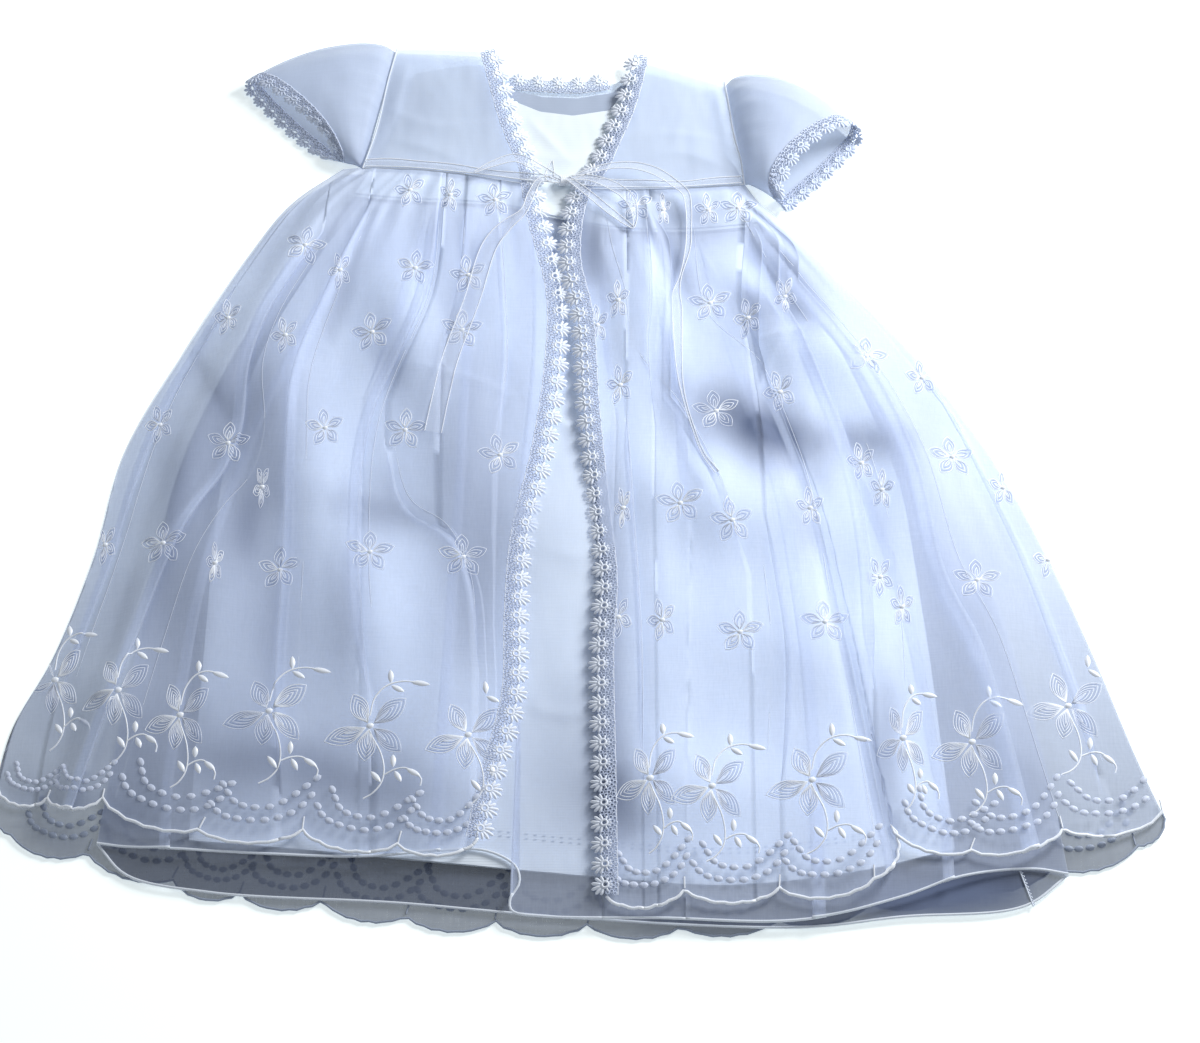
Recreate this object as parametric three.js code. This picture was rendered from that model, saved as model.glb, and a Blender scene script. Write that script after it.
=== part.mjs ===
// Child's christening gown, laid flat on its back with the neck away from the viewer: a sheer robe,
// open down the front, over a sleeveless dress with a satin bodice and a lined sheer skirt.
// Millimetres. +Z is up, +Y runs from hem to neck, +X is to the right as seen from above.
// "left" and "right" are those of somebody who looks down on the front.

import * as THREE from "three";

// Driving sizes
const WALL = 1.2; // cloth wall
const LAYER_STEP = 1.7; // wall and the air above it, from one layer to the next
const SEAM = 0.3; // gap between two pieces sewn edge to edge
const EDGE_HOLD = 6; // a layer still lifts what lies on it this far past its edge
const EDGE_FALL = 32; // and over this distance the upper layers come down to the next one
const SCALLOP_DEPTH = 8; // robe hem, cusp to lowest point
const COLUMNS_PER_SCALLOP = 6; // robe fronts: two gathers over each scallop
const BACK_COLUMNS_PER_SCALLOP = 4;
const GATHER_LIFT = 1.5; // ridge of a gather just under the waist
const GATHER_RISE = 9; // from the seam to the full ridge
const GATHER_REACH = 75; // where a gather has died away
const LACE_CLOTH_SIDE = 6; // daisy lace, from the cloth's edge inwards
const LACE_PETAL_SIDE = 6.5; // and from the edge out to the petal tips
const LACE_NOTCH = 2; // between two daisies
const LACE_PITCH = 12; // one daisy
const LACE_WALL = 1.2;
const POINTS_PER_DAISY = 3;
const BELT_WIDTH = 7; // waist ribbon as it lies, creased along its length
const RIBBON_WALL = 1;
const REST_GAP = 0.35; // ribbon stays this far above what it lies on
const CENTRE_X = 2.35; // from the tables' origin to the middle of the laid-out gown
const CENTRE_Y = -1.25;
const EDGE_SAMPLES = 200; // along an edge, where its length is measured

// Finer form, in millimetres or as shares
const FOLD_NARROWING = 0.45; // width of a large fold at the waist, as a share of that at the hem
const FOLD_START = 0.24; // share of the skirt over which a fold rises
const FOLD_END = 0.35; // and over which it dies away
const SEAM_BAND = 0.08; // share of the skirt that stays flat under the waist for the large folds
const LACE_FLAT = { from: 6, to: 20 }; // the cloth is flat under the lace and reaches full folds here
const SIDE_FLAT = 12; // and within this distance of the side seam
const DRESS_GATHER_SHARE = 0.7; // gathers of the dress against those of the robe
const DRESS_LOFT_RISE = { from: -14, to: 2 }; // distance below the dress's waist seam
const DRESS_LOFT_FADE = { from: 30, to: 110 };
const SCALLOP_SLENDER = 0.25; // a short scallop is no deeper than this share of its width
const SCALLOP_FULLNESS = 0.75; // below 1 a scallop is rounder at its foot
const TUBE_SIDE_WALL = 1.3; // wall at a flattened tube's two creases, in wall thicknesses
const TUBE_CREASE = 0.4; // height of those creases, as a share of the loft
const TUBE_FULLNESS = 0.7; // below 1 the front of a tube is fuller
const TUBE_FLOOR = 2.2; // above 1 the back of a tube lies flat over more of its width
const BELT_COLUMNS = 14;
const LOOP_CHECKS = 24; // places across a bow loop where the cloth under it is felt
const LOOP_SPREAD = 1.5; // and how far round each
const LOOP_CREASE = 0.06; // share of a loop's width that stands clear at each of its creases
const TAIL_STEP = 8;
const TAIL_SPREAD = 5;

// Colours of the cloth
const ORGANZA = 0xc5d1e6;
const SATIN = 0xecf7fd;
const LINING = 0xdfe9f8;
const GUIPURE = 0xf2f6fc;
const RIBBON = 0xd8e4f6;

// Robe, laid out. Waist seam, left side to right side.
const ROBE_WAIST = [
  { x: -145, y: 200 },
  { x: -110, y: 200 },
  { x: -74, y: 196 },
  { x: -30, y: 188 },
  { x: 10, y: 185 },
  { x: 55, y: 186 },
  { x: 98, y: 189 },
];

// Robe skirt, left side seam from waist to hem.
const ROBE_LEFT_SIDE = [
  { x: -145, y: 200 },
  { x: -175, y: 177 },
  { x: -199, y: 141 },
  { x: -235, y: 72 },
  { x: -265, y: 5 },
  { x: -277, y: -61 },
  { x: -295, y: -124 },
  { x: -313, y: -165 },
  { x: -320, y: -205 },
];

// Robe skirt, right side seam from waist to hem.
const ROBE_RIGHT_SIDE = [
  { x: 98, y: 189 },
  { x: 107, y: 174 },
  { x: 129, y: 153 },
  { x: 159, y: 118 },
  { x: 195, y: 72 },
  { x: 236, y: 5 },
  { x: 265, y: -61 },
  { x: 287, y: -124 },
  { x: 306, y: -185 },
  { x: 318, y: -219 },
];

// Front edges of the robe skirt, waist to hem. The daisy lace runs along them.
const LEFT_FRONT_EDGE = [
  { x: -31, y: 188 },
  { x: -27, y: 163 },
  { x: -15, y: 108 },
  { x: -16, y: 57 },
  { x: -23, y: 2 },
  { x: -34, y: -53 },
  { x: -37, y: -100 },
  { x: -38, y: -153 },
  { x: -50, y: -205 },
  { x: -56, y: -238 },
];
const RIGHT_FRONT_EDGE = [
  { x: -1, y: 186 },
  { x: -6, y: 160 },
  { x: -7, y: 130 },
  { x: 0, y: 94 },
  { x: 4, y: 30 },
  { x: 10, y: -37 },
  { x: 14, y: -81 },
  { x: 12, y: -120 },
  { x: 13, y: -200 },
  { x: 14, y: -271 },
];

// Cusps between the hem scallops.
const LEFT_HEM_CUSPS = [
  { x: -320, y: -205 },
  { x: -292, y: -211 },
  { x: -261, y: -213 },
  { x: -207, y: -232 },
  { x: -151, y: -232 },
  { x: -99, y: -241 },
  { x: -56, y: -238 },
];
const RIGHT_HEM_CUSPS = [
  { x: 14, y: -271 },
  { x: 56, y: -267 },
  { x: 107, y: -266 },
  { x: 158, y: -262 },
  { x: 168, y: -230 },
  { x: 211, y: -244 },
  { x: 262, y: -231 },
  { x: 318, y: -219 },
];
const BACK_HEM_CUSPS = [
  { x: -320, y: -205 },
  { x: -309, y: -232 },
  { x: -268, y: -241 },
  { x: -221, y: -257 },
  { x: -184, y: -265 },
  { x: -139, y: -269 },
  { x: -94, y: -278 },
  { x: -46, y: -281 },
  { x: 4, y: -283 },
  { x: 54, y: -284 },
  { x: 106, y: -280 },
  { x: 156, y: -271 },
  { x: 206, y: -262 },
  { x: 256, y: -250 },
  { x: 302, y: -238 },
  { x: 318, y: -219 },
];

// Large folds of the robe fronts. waist and hem: place across the panel, 0 at its left edge and 1
// at its right. lift: height of the ridge. half: half its width at the hem. from and to: where it
// starts and dies away, 0 at the waist and 1 at the hem. lean: above 0 the right flank is steeper.
const LEFT_FOLDS = [
  { waist: 0.12, hem: 0.235, lift: 4.6, half: 17, from: 0.0, to: 1.3, lean: -0.45 },
  { waist: 0.3, hem: 0.43, lift: 3.4, half: 20, from: 0.05, to: 1.25, lean: 0.3 },
  { waist: 0.5, hem: 0.58, lift: 2.8, half: 18, from: 0.1, to: 1.1, lean: -0.2 },
  { waist: 0.64, hem: 0.72, lift: 3.6, half: 16, from: 0.0, to: 0.9, lean: 0.4 },
  { waist: 0.78, hem: 0.86, lift: 2.6, half: 14, from: 0.0, to: 1.2, lean: 0.2 },
];
const RIGHT_FOLDS = [
  { waist: 0.14, hem: 0.12, lift: 2.8, half: 14, from: 0.0, to: 1.2, lean: -0.2 },
  { waist: 0.3, hem: 0.27, lift: 3.4, half: 17, from: 0.05, to: 0.8, lean: 0.3 },
  { waist: 0.48, hem: 0.44, lift: 4.4, half: 20, from: 0.2, to: 1.3, lean: 0.45 },
  { waist: 0.66, hem: 0.62, lift: 3.2, half: 15, from: 0.0, to: 1.2, lean: 0.3 },
  { waist: 0.82, hem: 0.8, lift: 4.2, half: 18, from: 0.0, to: 1.3, lean: -0.3 },
];

// Heights of successive gathers, as shares of the full lift, repeated across a waist.
const GATHER_SHARES = [1, 0.7, 0.9, 0.55, 0.85, 1, 0.6, 0.8];

// Dress, laid out. Its waist seam is lower than the robe's.
const DRESS_WAIST = [
  { x: -138, y: 180 },
  { x: -110, y: 177 },
  { x: -50, y: 173 },
  { x: -12, y: 163 },
  { x: 30, y: 155 },
  { x: 70, y: 155 },
  { x: 106, y: 159 },
];
const DRESS_LEFT_SIDE = [
  { x: -138, y: 180 },
  { x: -163, y: 145 },
  { x: -197, y: 85 },
  { x: -228, y: 5 },
  { x: -242, y: -70 },
  { x: -251, y: -140 },
  { x: -259, y: -200 },
  { x: -263, y: -238 },
];
const DRESS_RIGHT_SIDE = [
  { x: 106, y: 159 },
  { x: 135, y: 118 },
  { x: 165, y: 72 },
  { x: 200, y: 5 },
  { x: 224, y: -60 },
  { x: 243, y: -130 },
  { x: 257, y: -200 },
  { x: 264, y: -256 },
];
const DRESS_FRONT_HEM = [
  { x: -263, y: -238 },
  { x: -250, y: -252 },
  { x: -224, y: -257 },
  { x: -178, y: -266 },
  { x: -97, y: -267 },
  { x: -38, y: -277 },
  { x: 40, y: -282 },
  { x: 118, y: -283 },
  { x: 173, y: -270 },
  { x: 207, y: -258 },
  { x: 245, y: -253 },
  { x: 264, y: -256 },
];
const DRESS_BACK_HEM = [
  { x: -263, y: -238 },
  { x: -246, y: -256 },
  { x: -200, y: -266 },
  { x: -100, y: -272 },
  { x: 0, y: -281 },
  { x: 118, y: -286 },
  { x: 173, y: -280 },
  { x: 239, y: -274 },
  { x: 264, y: -256 },
];
const LINING_LEFT_SIDE = [
  { x: -132, y: 178 },
  { x: -157, y: 138 },
  { x: -188, y: 70 },
  { x: -205, y: 0 },
  { x: -210, y: -100 },
  { x: -213, y: -237 },
];
const LINING_RIGHT_SIDE = [
  { x: 99, y: 157 },
  { x: 128, y: 110 },
  { x: 158, y: 55 },
  { x: 180, y: -10 },
  { x: 192, y: -100 },
  { x: 203, y: -242 },
];
const LINING_HEM = [
  { x: -213, y: -237 },
  { x: -144, y: -243 },
  { x: -65, y: -251 },
  { x: 7, y: -258 },
  { x: 80, y: -263 },
  { x: 150, y: -255 },
  { x: 203, y: -242 },
];

// Bodices. Each top edge runs from the left shoulder point along the neck to the right one.
const ROBE_BACK_TOP = [
  { x: -115, y: 290 },
  { x: -86, y: 289 },
  { x: -59, y: 287 },
  { x: -48, y: 270 },
  { x: -25, y: 264 },
  { x: -1, y: 263 },
  { x: 20, y: 267 },
  { x: 37, y: 283 },
  { x: 62, y: 274 },
  { x: 87, y: 265 },
];
const BACK_NECK_LACE = [
  { x: -45, y: 268 },
  { x: -25, y: 266 },
  { x: -1, y: 265 },
  { x: 16, y: 268 },
];
const ROBE_LEFT_ARMHOLE = [
  { x: -115, y: 290 },
  { x: -120, y: 264 },
  { x: -125, y: 232 },
  { x: -130, y: 212 },
  { x: -133, y: 200 },
];
const ROBE_RIGHT_ARMHOLE = [
  { x: 87, y: 265 },
  { x: 89, y: 250 },
  { x: 92, y: 225 },
  { x: 96, y: 206 },
  { x: 97.5, y: 189 },
];
const LEFT_NECK_EDGE = [
  { x: -57, y: 287 },
  { x: -51, y: 262 },
  { x: -46, y: 241 },
  { x: -40, y: 222 },
  { x: -33, y: 204 },
  { x: -31, y: 188 },
];
const RIGHT_NECK_EDGE = [
  { x: 34, y: 283 },
  { x: 30, y: 262 },
  { x: 24, y: 240 },
  { x: 16, y: 219 },
  { x: 10, y: 203 },
  { x: -1, y: 186 },
];
const DRESS_BACK_TOP = [
  { x: -104, y: 272 },
  { x: -82, y: 277 },
  { x: -62, y: 279 },
  { x: -46, y: 262 },
  { x: -25, y: 256 },
  { x: -4, y: 255 },
  { x: 18, y: 259 },
  { x: 33, y: 274 },
  { x: 55, y: 267 },
  { x: 76, y: 257 },
];
const DRESS_FRONT_TOP = [
  { x: -104, y: 272 },
  { x: -82, y: 277 },
  { x: -62, y: 279 },
  { x: -43, y: 252 },
  { x: -26, y: 244 },
  { x: -6, y: 241 },
  { x: 17, y: 245 },
  { x: 33, y: 274 },
  { x: 55, y: 267 },
  { x: 76, y: 257 },
];
const DRESS_LEFT_ARMHOLE = [
  { x: -104, y: 272 },
  { x: -108, y: 250 },
  { x: -116, y: 225 },
  { x: -124, y: 208 },
  { x: -138, y: 180 },
];
const DRESS_RIGHT_ARMHOLE = [
  { x: 76, y: 257 },
  { x: 79, y: 238 },
  { x: 86, y: 215 },
  { x: 95, y: 198 },
  { x: 106, y: 159 },
];

// Sleeves, a row for each section from the armhole to the cuff. top and low: ends of the flattened
// section. loft: its height. slant: how far the front wall is drawn back towards the shoulder, with
// the back wall pushed out as far as back says.
const LEFT_SLEEVE = [
  { topX: -115.6, topY: 290, lowX: -133.6, lowY: 201, loft: 6, slant: 0, back: 0 },
  { topX: -122, topY: 293, lowX: -134.5, lowY: 201.5, loft: 11, slant: 0, back: 0 },
  { topX: -133, topY: 294, lowX: -136, lowY: 202, loft: 14, slant: 0, back: 0 },
  { topX: -148, topY: 292, lowX: -138, lowY: 203, loft: 16, slant: 0, back: 1 },
  { topX: -165, topY: 288, lowX: -141, lowY: 204, loft: 16, slant: 1, back: 2 },
  { topX: -182, topY: 281, lowX: -144, lowY: 205.5, loft: 15, slant: 3, back: 2 },
  { topX: -196, topY: 273, lowX: -147, lowY: 207, loft: 14, slant: 6, back: 3 },
  { topX: -204, topY: 267, lowX: -149, lowY: 208, loft: 13, slant: 8, back: 3 },
];
const RIGHT_SLEEVE = [
  { topX: 87.4, topY: 265, lowX: 98.6, lowY: 190.5, loft: 6, slant: 0, back: 0 },
  { topX: 92, topY: 268, lowX: 100.5, lowY: 189.5, loft: 12, slant: 0, back: 0 },
  { topX: 100, topY: 269, lowX: 103, lowY: 187.5, loft: 17, slant: 0, back: 0 },
  { topX: 115, topY: 267, lowX: 106, lowY: 185, loft: 21, slant: 1, back: 0 },
  { topX: 131, topY: 261, lowX: 109, lowY: 182.5, loft: 23, slant: 3, back: 1 },
  { topX: 147, topY: 250, lowX: 112, lowY: 180, loft: 23, slant: 6, back: 2 },
  { topX: 159, topY: 238, lowX: 115, lowY: 177.5, loft: 22, slant: 10, back: 3 },
  { topX: 167, topY: 229, lowX: 117, lowY: 175.5, loft: 21, slant: 13, back: 3 },
];
const SLEEVE_POINTS = 24; // round a section
const SLEEVE_GATHERS = 9; // round the sleeve head
const SLEEVE_GATHER_LIFT = 0.7;
const CUFF_LACE_DAISIES = 15; // round a cuff
const CUFF_LACE_DEPTH = 9;
const CUFF_LACE_CLEAR = 0.3; // above the floor

// Bow on the waist ribbon. A loop is a flattened ring of ribbon: sections across its width.
const KNOT = { x: -11, y: 190, wide: 9, deep: 7, tall: 5 };
const LEFT_LOOP = [
  { topX: -26, topY: 206, lowX: -16.2, lowY: 196, loft: 5, slant: 0, back: 0 },
  { topX: -30, topY: 202, lowX: -17, lowY: 193, loft: 5.4, slant: 0, back: 0 },
  { topX: -33, topY: 197, lowX: -16.6, lowY: 189, loft: 5, slant: 0, back: 0 },
];
const RIGHT_LOOP = [
  { topX: 56, topY: 203, lowX: -5.4, lowY: 194, loft: 5.4, slant: 0, back: 0 },
  { topX: 62, topY: 198, lowX: -5, lowY: 190.5, loft: 5.8, slant: 0, back: 0 },
  { topX: 63, topY: 192, lowX: -5.4, lowY: 187, loft: 5.4, slant: 0, back: 0 },
];
const LOOP_POINTS = 16;

// Free ends of the ribbon, from the bow to the cut ends. wide: ribbon width there, less where it
// turns on its edge.
const LEFT_TAIL = [
  { x: -18, y: 183.5, wide: 6 },
  { x: -34, y: 171, wide: 8 },
  { x: -55, y: 147, wide: 5 },
  { x: -63, y: 115, wide: 9 },
  { x: -73, y: 78, wide: 10 },
  { x: -82, y: 43, wide: 10 },
  { x: -85, y: 13, wide: 10 },
];
const RIGHT_TAIL = [
  { x: 66, y: 181, wide: 6 },
  { x: 62, y: 150, wide: 4 },
  { x: 57, y: 112, wide: 9 },
  { x: 58, y: 84, wide: 10 },
  { x: 59, y: 54, wide: 4 },
  { x: 67, y: 23, wide: 9 },
  { x: 77, y: -10, wide: 10 },
];

// Shapes in plan

const at = (row) => new THREE.Vector3(row.x, row.y, 0);

// Smooth curve through a table's rows, as a function of the share of its length.
function smoothEdge(rows) {
  const curve = new THREE.CatmullRomCurve3(rows.map(at), false, "centripetal");
  return (share) => curve.getPointAt(THREE.MathUtils.clamp(share, 0, 1));
}

// Straight stretches from row to row, each given the same share.
function corneredEdge(rows) {
  return (share) => {
    const place = THREE.MathUtils.clamp(share, 0, 1) * (rows.length - 1);
    const start = Math.min(Math.floor(place), rows.length - 2);
    return at(rows[start]).lerp(at(rows[start + 1]), place - start);
  };
}

// Part of an edge, from one share of its length to another.
const partOf = (edge, from, to) => (share) => edge(from + (to - from) * share);

// Share of an edge's length that comes closest to a point.
function shareNear(edge, point) {
  const gap = (share) => edge(share).distanceTo(point);
  return evenly(2 * EDGE_SAMPLES).reduce((best, share) => (gap(share) < gap(best) ? share : best), 0);
}

// Flat cloth between four edges: across runs 0 to 1 from left to right, down 0 to 1 from top to foot.
function patch({ top, foot, left, right }) {
  const corner = [top(0), top(1), foot(0), foot(1)];
  return (across, down) => {
    const rows = top(across).lerp(foot(across), down);
    const columns = left(down).lerp(right(down), across);
    const upper = corner[0].clone().lerp(corner[1], across);
    const lower = corner[2].clone().lerp(corner[3], across);
    return rows.add(columns).sub(upper.lerp(lower, down));
  };
}

// Points on a patch. hang(column) moves the last row out, for scallops.
function layOut(cloth, columns, rows, hang = null) {
  const grid = [];
  for (let j = 0; j < rows.length; j++) {
    const line = [];
    for (let i = 0; i < columns.length; i++) {
      const point = cloth(columns[i], rows[j]);
      if (hang && j === rows.length - 1) point.add(hang(i));
      line.push(point);
    }
    grid.push(line);
  }
  return grid;
}

const evenly = (count) => Array.from({ length: count + 1 }, (_, i) => i / count);

// Outline of a laid-out grid, once round.
function outlineOf(grid) {
  const last = grid.length - 1;
  const right = grid.slice(1, last).map((line) => line[line.length - 1]);
  const left = grid.slice(1, last).map((line) => line[0]);
  return [...grid[0], ...right, ...[...grid[last]].reverse(), ...left.reverse()];
}

// Distance from a point to an outline, below 0 inside it.
function distanceOutside(outline, x, y) {
  let nearest = Infinity;
  let inside = false;
  for (let i = 0, j = outline.length - 1; i < outline.length; j = i++) {
    const a = outline[j];
    const b = outline[i];
    const dx = b.x - a.x;
    const dy = b.y - a.y;
    const along = ((x - a.x) * dx + (y - a.y) * dy) / (dx * dx + dy * dy || 1);
    const t = THREE.MathUtils.clamp(along, 0, 1);
    nearest = Math.min(nearest, Math.hypot(x - a.x - t * dx, y - a.y - t * dy));
    if (a.y > y !== b.y > y && x < a.x + ((y - a.y) / dy) * dx) inside = !inside;
  }
  return inside ? -nearest : nearest;
}

// Layers from the floor up: the outlines of the cloth in each, and the loft that its gathers give
// to what lies on it.
const layers = [];

function addLayer(names, loft = () => 0) {
  layers.push({ outlines: names.map((name) => outlineOf(plan[name])), loft });
}

// 1 over a layer, falling to 0 a short way past its edge.
function presence(layer, x, y) {
  const gap = Math.min(...layer.outlines.map((outline) => distanceOutside(outline, x, y)));
  return 1 - THREE.MathUtils.smoothstep(gap, EDGE_HOLD, EDGE_HOLD + EDGE_FALL);
}

// Height of the cloth that lies on the first few layers.
function restingHeight(layerCount, x, y) {
  return layers
    .slice(0, layerCount)
    .reduce((sum, layer) => sum + (LAYER_STEP + layer.loft(x, y)) * presence(layer, x, y), 0);
}

// Solids

function geometryOf(points, index) {
  const geometry = new THREE.BufferGeometry().setFromPoints(points);
  geometry.setIndex(index);
  geometry.computeVertexNormals();
  return geometry;
}

// Closed solid over the grid of its underside.
function closeGrid(under, thickness) {
  const high = under.length;
  const wide = under[0].length;
  const floor = under.flat();
  const points = [...floor, ...floor.map((p) => p.clone().setZ(p.z + thickness))];
  const top = high * wide;
  const index = [];
  const quad = (a, b, c, d) => index.push(a, b, c, a, c, d);
  for (let j = 0; j < high - 1; j++) {
    for (let i = 0; i < wide - 1; i++) {
      const a = j * wide + i;
      quad(top + a, top + a + wide, top + a + wide + 1, top + a + 1);
      quad(a, a + 1, a + wide + 1, a + wide);
    }
  }
  for (let i = 0; i < wide - 1; i++) {
    const foot = (high - 1) * wide + i;
    quad(i, top + i, top + i + 1, i + 1);
    quad(foot + 1, top + foot + 1, top + foot, foot);
  }
  for (let j = 0; j < high - 1; j++) {
    const left = j * wide;
    const right = left + wide - 1;
    quad(left + wide, top + left + wide, top + left, left);
    quad(right, top + right, top + right + wide, right + wide);
  }
  return geometryOf(points, index);
}

// Cloth wall on the layers below it. lift(i, j) raises single points.
function wall(grid, layerCount, lift = () => 0, thickness = WALL) {
  const under = grid.map((line, j) =>
    line.map((p, i) => p.clone().setZ(restingHeight(layerCount, p.x, p.y) + lift(i, j))),
  );
  return closeGrid(under, thickness);
}

// Flattened tube through a table of sections, open at both ends. hand is -1 for a tube that runs to
// the left and 1 for one that runs to the right. reach(point) moves the last section's points out.
function tube(sections, { hand, count, thickness, base = 0, wave = () => 0, reach = () => 0 }) {
  const outer = [];
  const inner = [];
  sections.forEach((row, j) => {
    const top = new THREE.Vector3(row.topX, row.topY, 0);
    const low = new THREE.Vector3(row.lowX, row.lowY, 0);
    const line = low.clone().sub(top);
    const outward = new THREE.Vector3(-line.y, line.x, 0).normalize().multiplyScalar(hand);
    const inset = (TUBE_SIDE_WALL * thickness) / line.length();
    const edge = TUBE_CREASE * row.loft;
    for (let i = 0; i < count; i++) {
      const turn = (2 * Math.PI * i) / count;
      const front = Math.sin(turn);
      const across = (1 - Math.cos(turn)) / 2;
      const rise = front > 0 ? Math.pow(front, TUBE_FULLNESS) : -Math.min(1, -TUBE_FLOOR * front);
      const shift = front > 0 ? -row.slant * front : -row.back * front;
      const further = j === sections.length - 1 ? reach(i) : 0;
      const ripple = front > 0 ? wave(i, j) * front : 0;
      const place = (share, bottom, height) => {
        const z = rise > 0 ? edge + (height - edge) * rise : edge + (edge - bottom) * rise;
        const point = top.clone().addScaledVector(line, share).addScaledVector(outward, shift + further);
        return point.setZ(base + z + ripple);
      };
      outer.push(place(across, 0, row.loft));
      inner.push(place(inset + (1 - 2 * inset) * across, thickness, row.loft - thickness));
    }
  });
  return closeTube(outer, inner, sections.length, count);
}

function closeTube(outer, inner, sectionCount, count) {
  const points = [...outer, ...inner];
  const index = [];
  const quad = (a, b, c, d) => index.push(a, b, c, a, c, d);
  const last = (sectionCount - 1) * count;
  for (let i = 0; i < count; i++) {
    const next = (i + 1) % count;
    for (let j = 0; j < sectionCount - 1; j++) {
      const [a, b] = [j * count + i, j * count + next];
      quad(a, b, b + count, a + count);
      const [c, d] = [outer.length + a, outer.length + b];
      quad(c, c + count, d + count, d);
    }
    quad(outer.length + i, outer.length + next, next, i);
    quad(last + i, last + next, outer.length + last + next, outer.length + last + i);
  }
  return facingOut(points, index);
}

// Turns the faces round where a mirrored table has them pointing in.
function facingOut(points, index) {
  let volume = 0;
  for (let i = 0; i < index.length; i += 3) {
    const [a, b, c] = index.slice(i, i + 3).map((k) => points[k]);
    volume += a.dot(b.clone().cross(c));
  }
  return geometryOf(points, volume < 0 ? index.reverse() : index);
}

// Folds and gathers

// Height that one large fold adds at a place on its panel.
function foldLift(fold, across, down, panelWidth) {
  const centre = THREE.MathUtils.lerp(fold.waist, fold.hem, down);
  const half = THREE.MathUtils.lerp(fold.half * FOLD_NARROWING, fold.half, down);
  const offset = ((across - centre) * panelWidth) / half;
  const skewed = offset / (1 - fold.lean * Math.sign(offset));
  const start = THREE.MathUtils.smoothstep(down, fold.from, fold.from + FOLD_START);
  const end = 1 - THREE.MathUtils.smoothstep(down, fold.to - FOLD_END, fold.to);
  return fold.lift * start * end * Math.exp(-skewed * skewed);
}

// Height of the gathers: every third column is a ridge, with a soft flank after it.
function gatherLift(column, fromSeam) {
  const share = GATHER_SHARES[Math.floor(column / 3) % GATHER_SHARES.length];
  const ridge = [0, 1, 0.3][column % 3];
  const rise = THREE.MathUtils.smoothstep(fromSeam, 0, GATHER_RISE);
  const fade = 1 - THREE.MathUtils.smoothstep(fromSeam, GATHER_RISE, GATHER_REACH * share);
  return GATHER_LIFT * share * ridge * rise * fade;
}

// Scallops hung from cusps: how far each column's hem point lies beyond the straight hem.
function scallops(cusps, perScallop) {
  return (column) => {
    const place = column / perScallop;
    const start = Math.min(Math.floor(place), cusps.length - 2);
    const chord = at(cusps[start + 1]).sub(at(cusps[start]));
    const share = place - start;
    const depth = Math.min(SCALLOP_DEPTH, chord.length() * SCALLOP_SLENDER);
    const bulge = depth * Math.pow(Math.max(0, 4 * share * (1 - share)), SCALLOP_FULLNESS);
    return new THREE.Vector3(chord.y, -chord.x, 0).normalize().multiplyScalar(bulge);
  };
}

// Cloth, laid out flat

const SKIRT_ROWS = [0, 0.03, 0.08, 0.16, 0.28, 0.44, 0.62, 0.8, 0.95, 1];
const PLAIN_ROWS = [0, 0.05, 0.15, 0.35, 0.65, 0.87, 0.94, 1];
const BODICE_ROWS = [0, 0.2, 0.4, 0.58, 0.74, 0.88, 1];

const waist = smoothEdge(ROBE_WAIST);
const leftSide = smoothEdge(ROBE_LEFT_SIDE);
const rightSide = smoothEdge(ROBE_RIGHT_SIDE);
const leftFrontEdge = smoothEdge(LEFT_FRONT_EDGE);
const rightFrontEdge = smoothEdge(RIGHT_FRONT_EDGE);
const dressWaist = smoothEdge(DRESS_WAIST);

// Lowers a skirt's first row from the waist seam by the sewing gap.
const belowSeam = (grid) => grid.map((line, j) => (j ? line : line.map((p) => p.setY(p.y - SEAM))));

// Stretch of an edge between two points on it.
const between = (edge, from, to) => partOf(edge, shareNear(edge, at(from)), shareNear(edge, at(to)));

function robeSkirt({ top, left, right, cusps, perScallop, rows }) {
  const cloth = patch({ top, foot: corneredEdge(cusps), left, right });
  const columns = evenly((cusps.length - 1) * perScallop);
  return belowSeam(layOut(cloth, columns, rows, scallops(cusps, perScallop)));
}

function dressSkirt({ top, hem, left, right, columnCount }) {
  const edges = { top, foot: smoothEdge(hem), left: smoothEdge(left), right: smoothEdge(right) };
  return belowSeam(layOut(patch(edges), evenly(columnCount), PLAIN_ROWS));
}

function bodice({ top, foot, left, right, columnCount = 18 }) {
  const edges = { top: corneredEdge(top), foot, left: smoothEdge(left), right: smoothEdge(right) };
  return layOut(patch(edges), evenly(columnCount), BODICE_ROWS);
}

const dressSides = { top: dressWaist, left: DRESS_LEFT_SIDE, right: DRESS_RIGHT_SIDE };
const lining = dressSkirt({
  top: between(dressWaist, LINING_LEFT_SIDE[0], LINING_RIGHT_SIDE[0]),
  hem: LINING_HEM,
  left: LINING_LEFT_SIDE,
  right: LINING_RIGHT_SIDE,
  columnCount: 16,
});
const dressArmholes = { left: DRESS_LEFT_ARMHOLE, right: DRESS_RIGHT_ARMHOLE };

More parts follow.
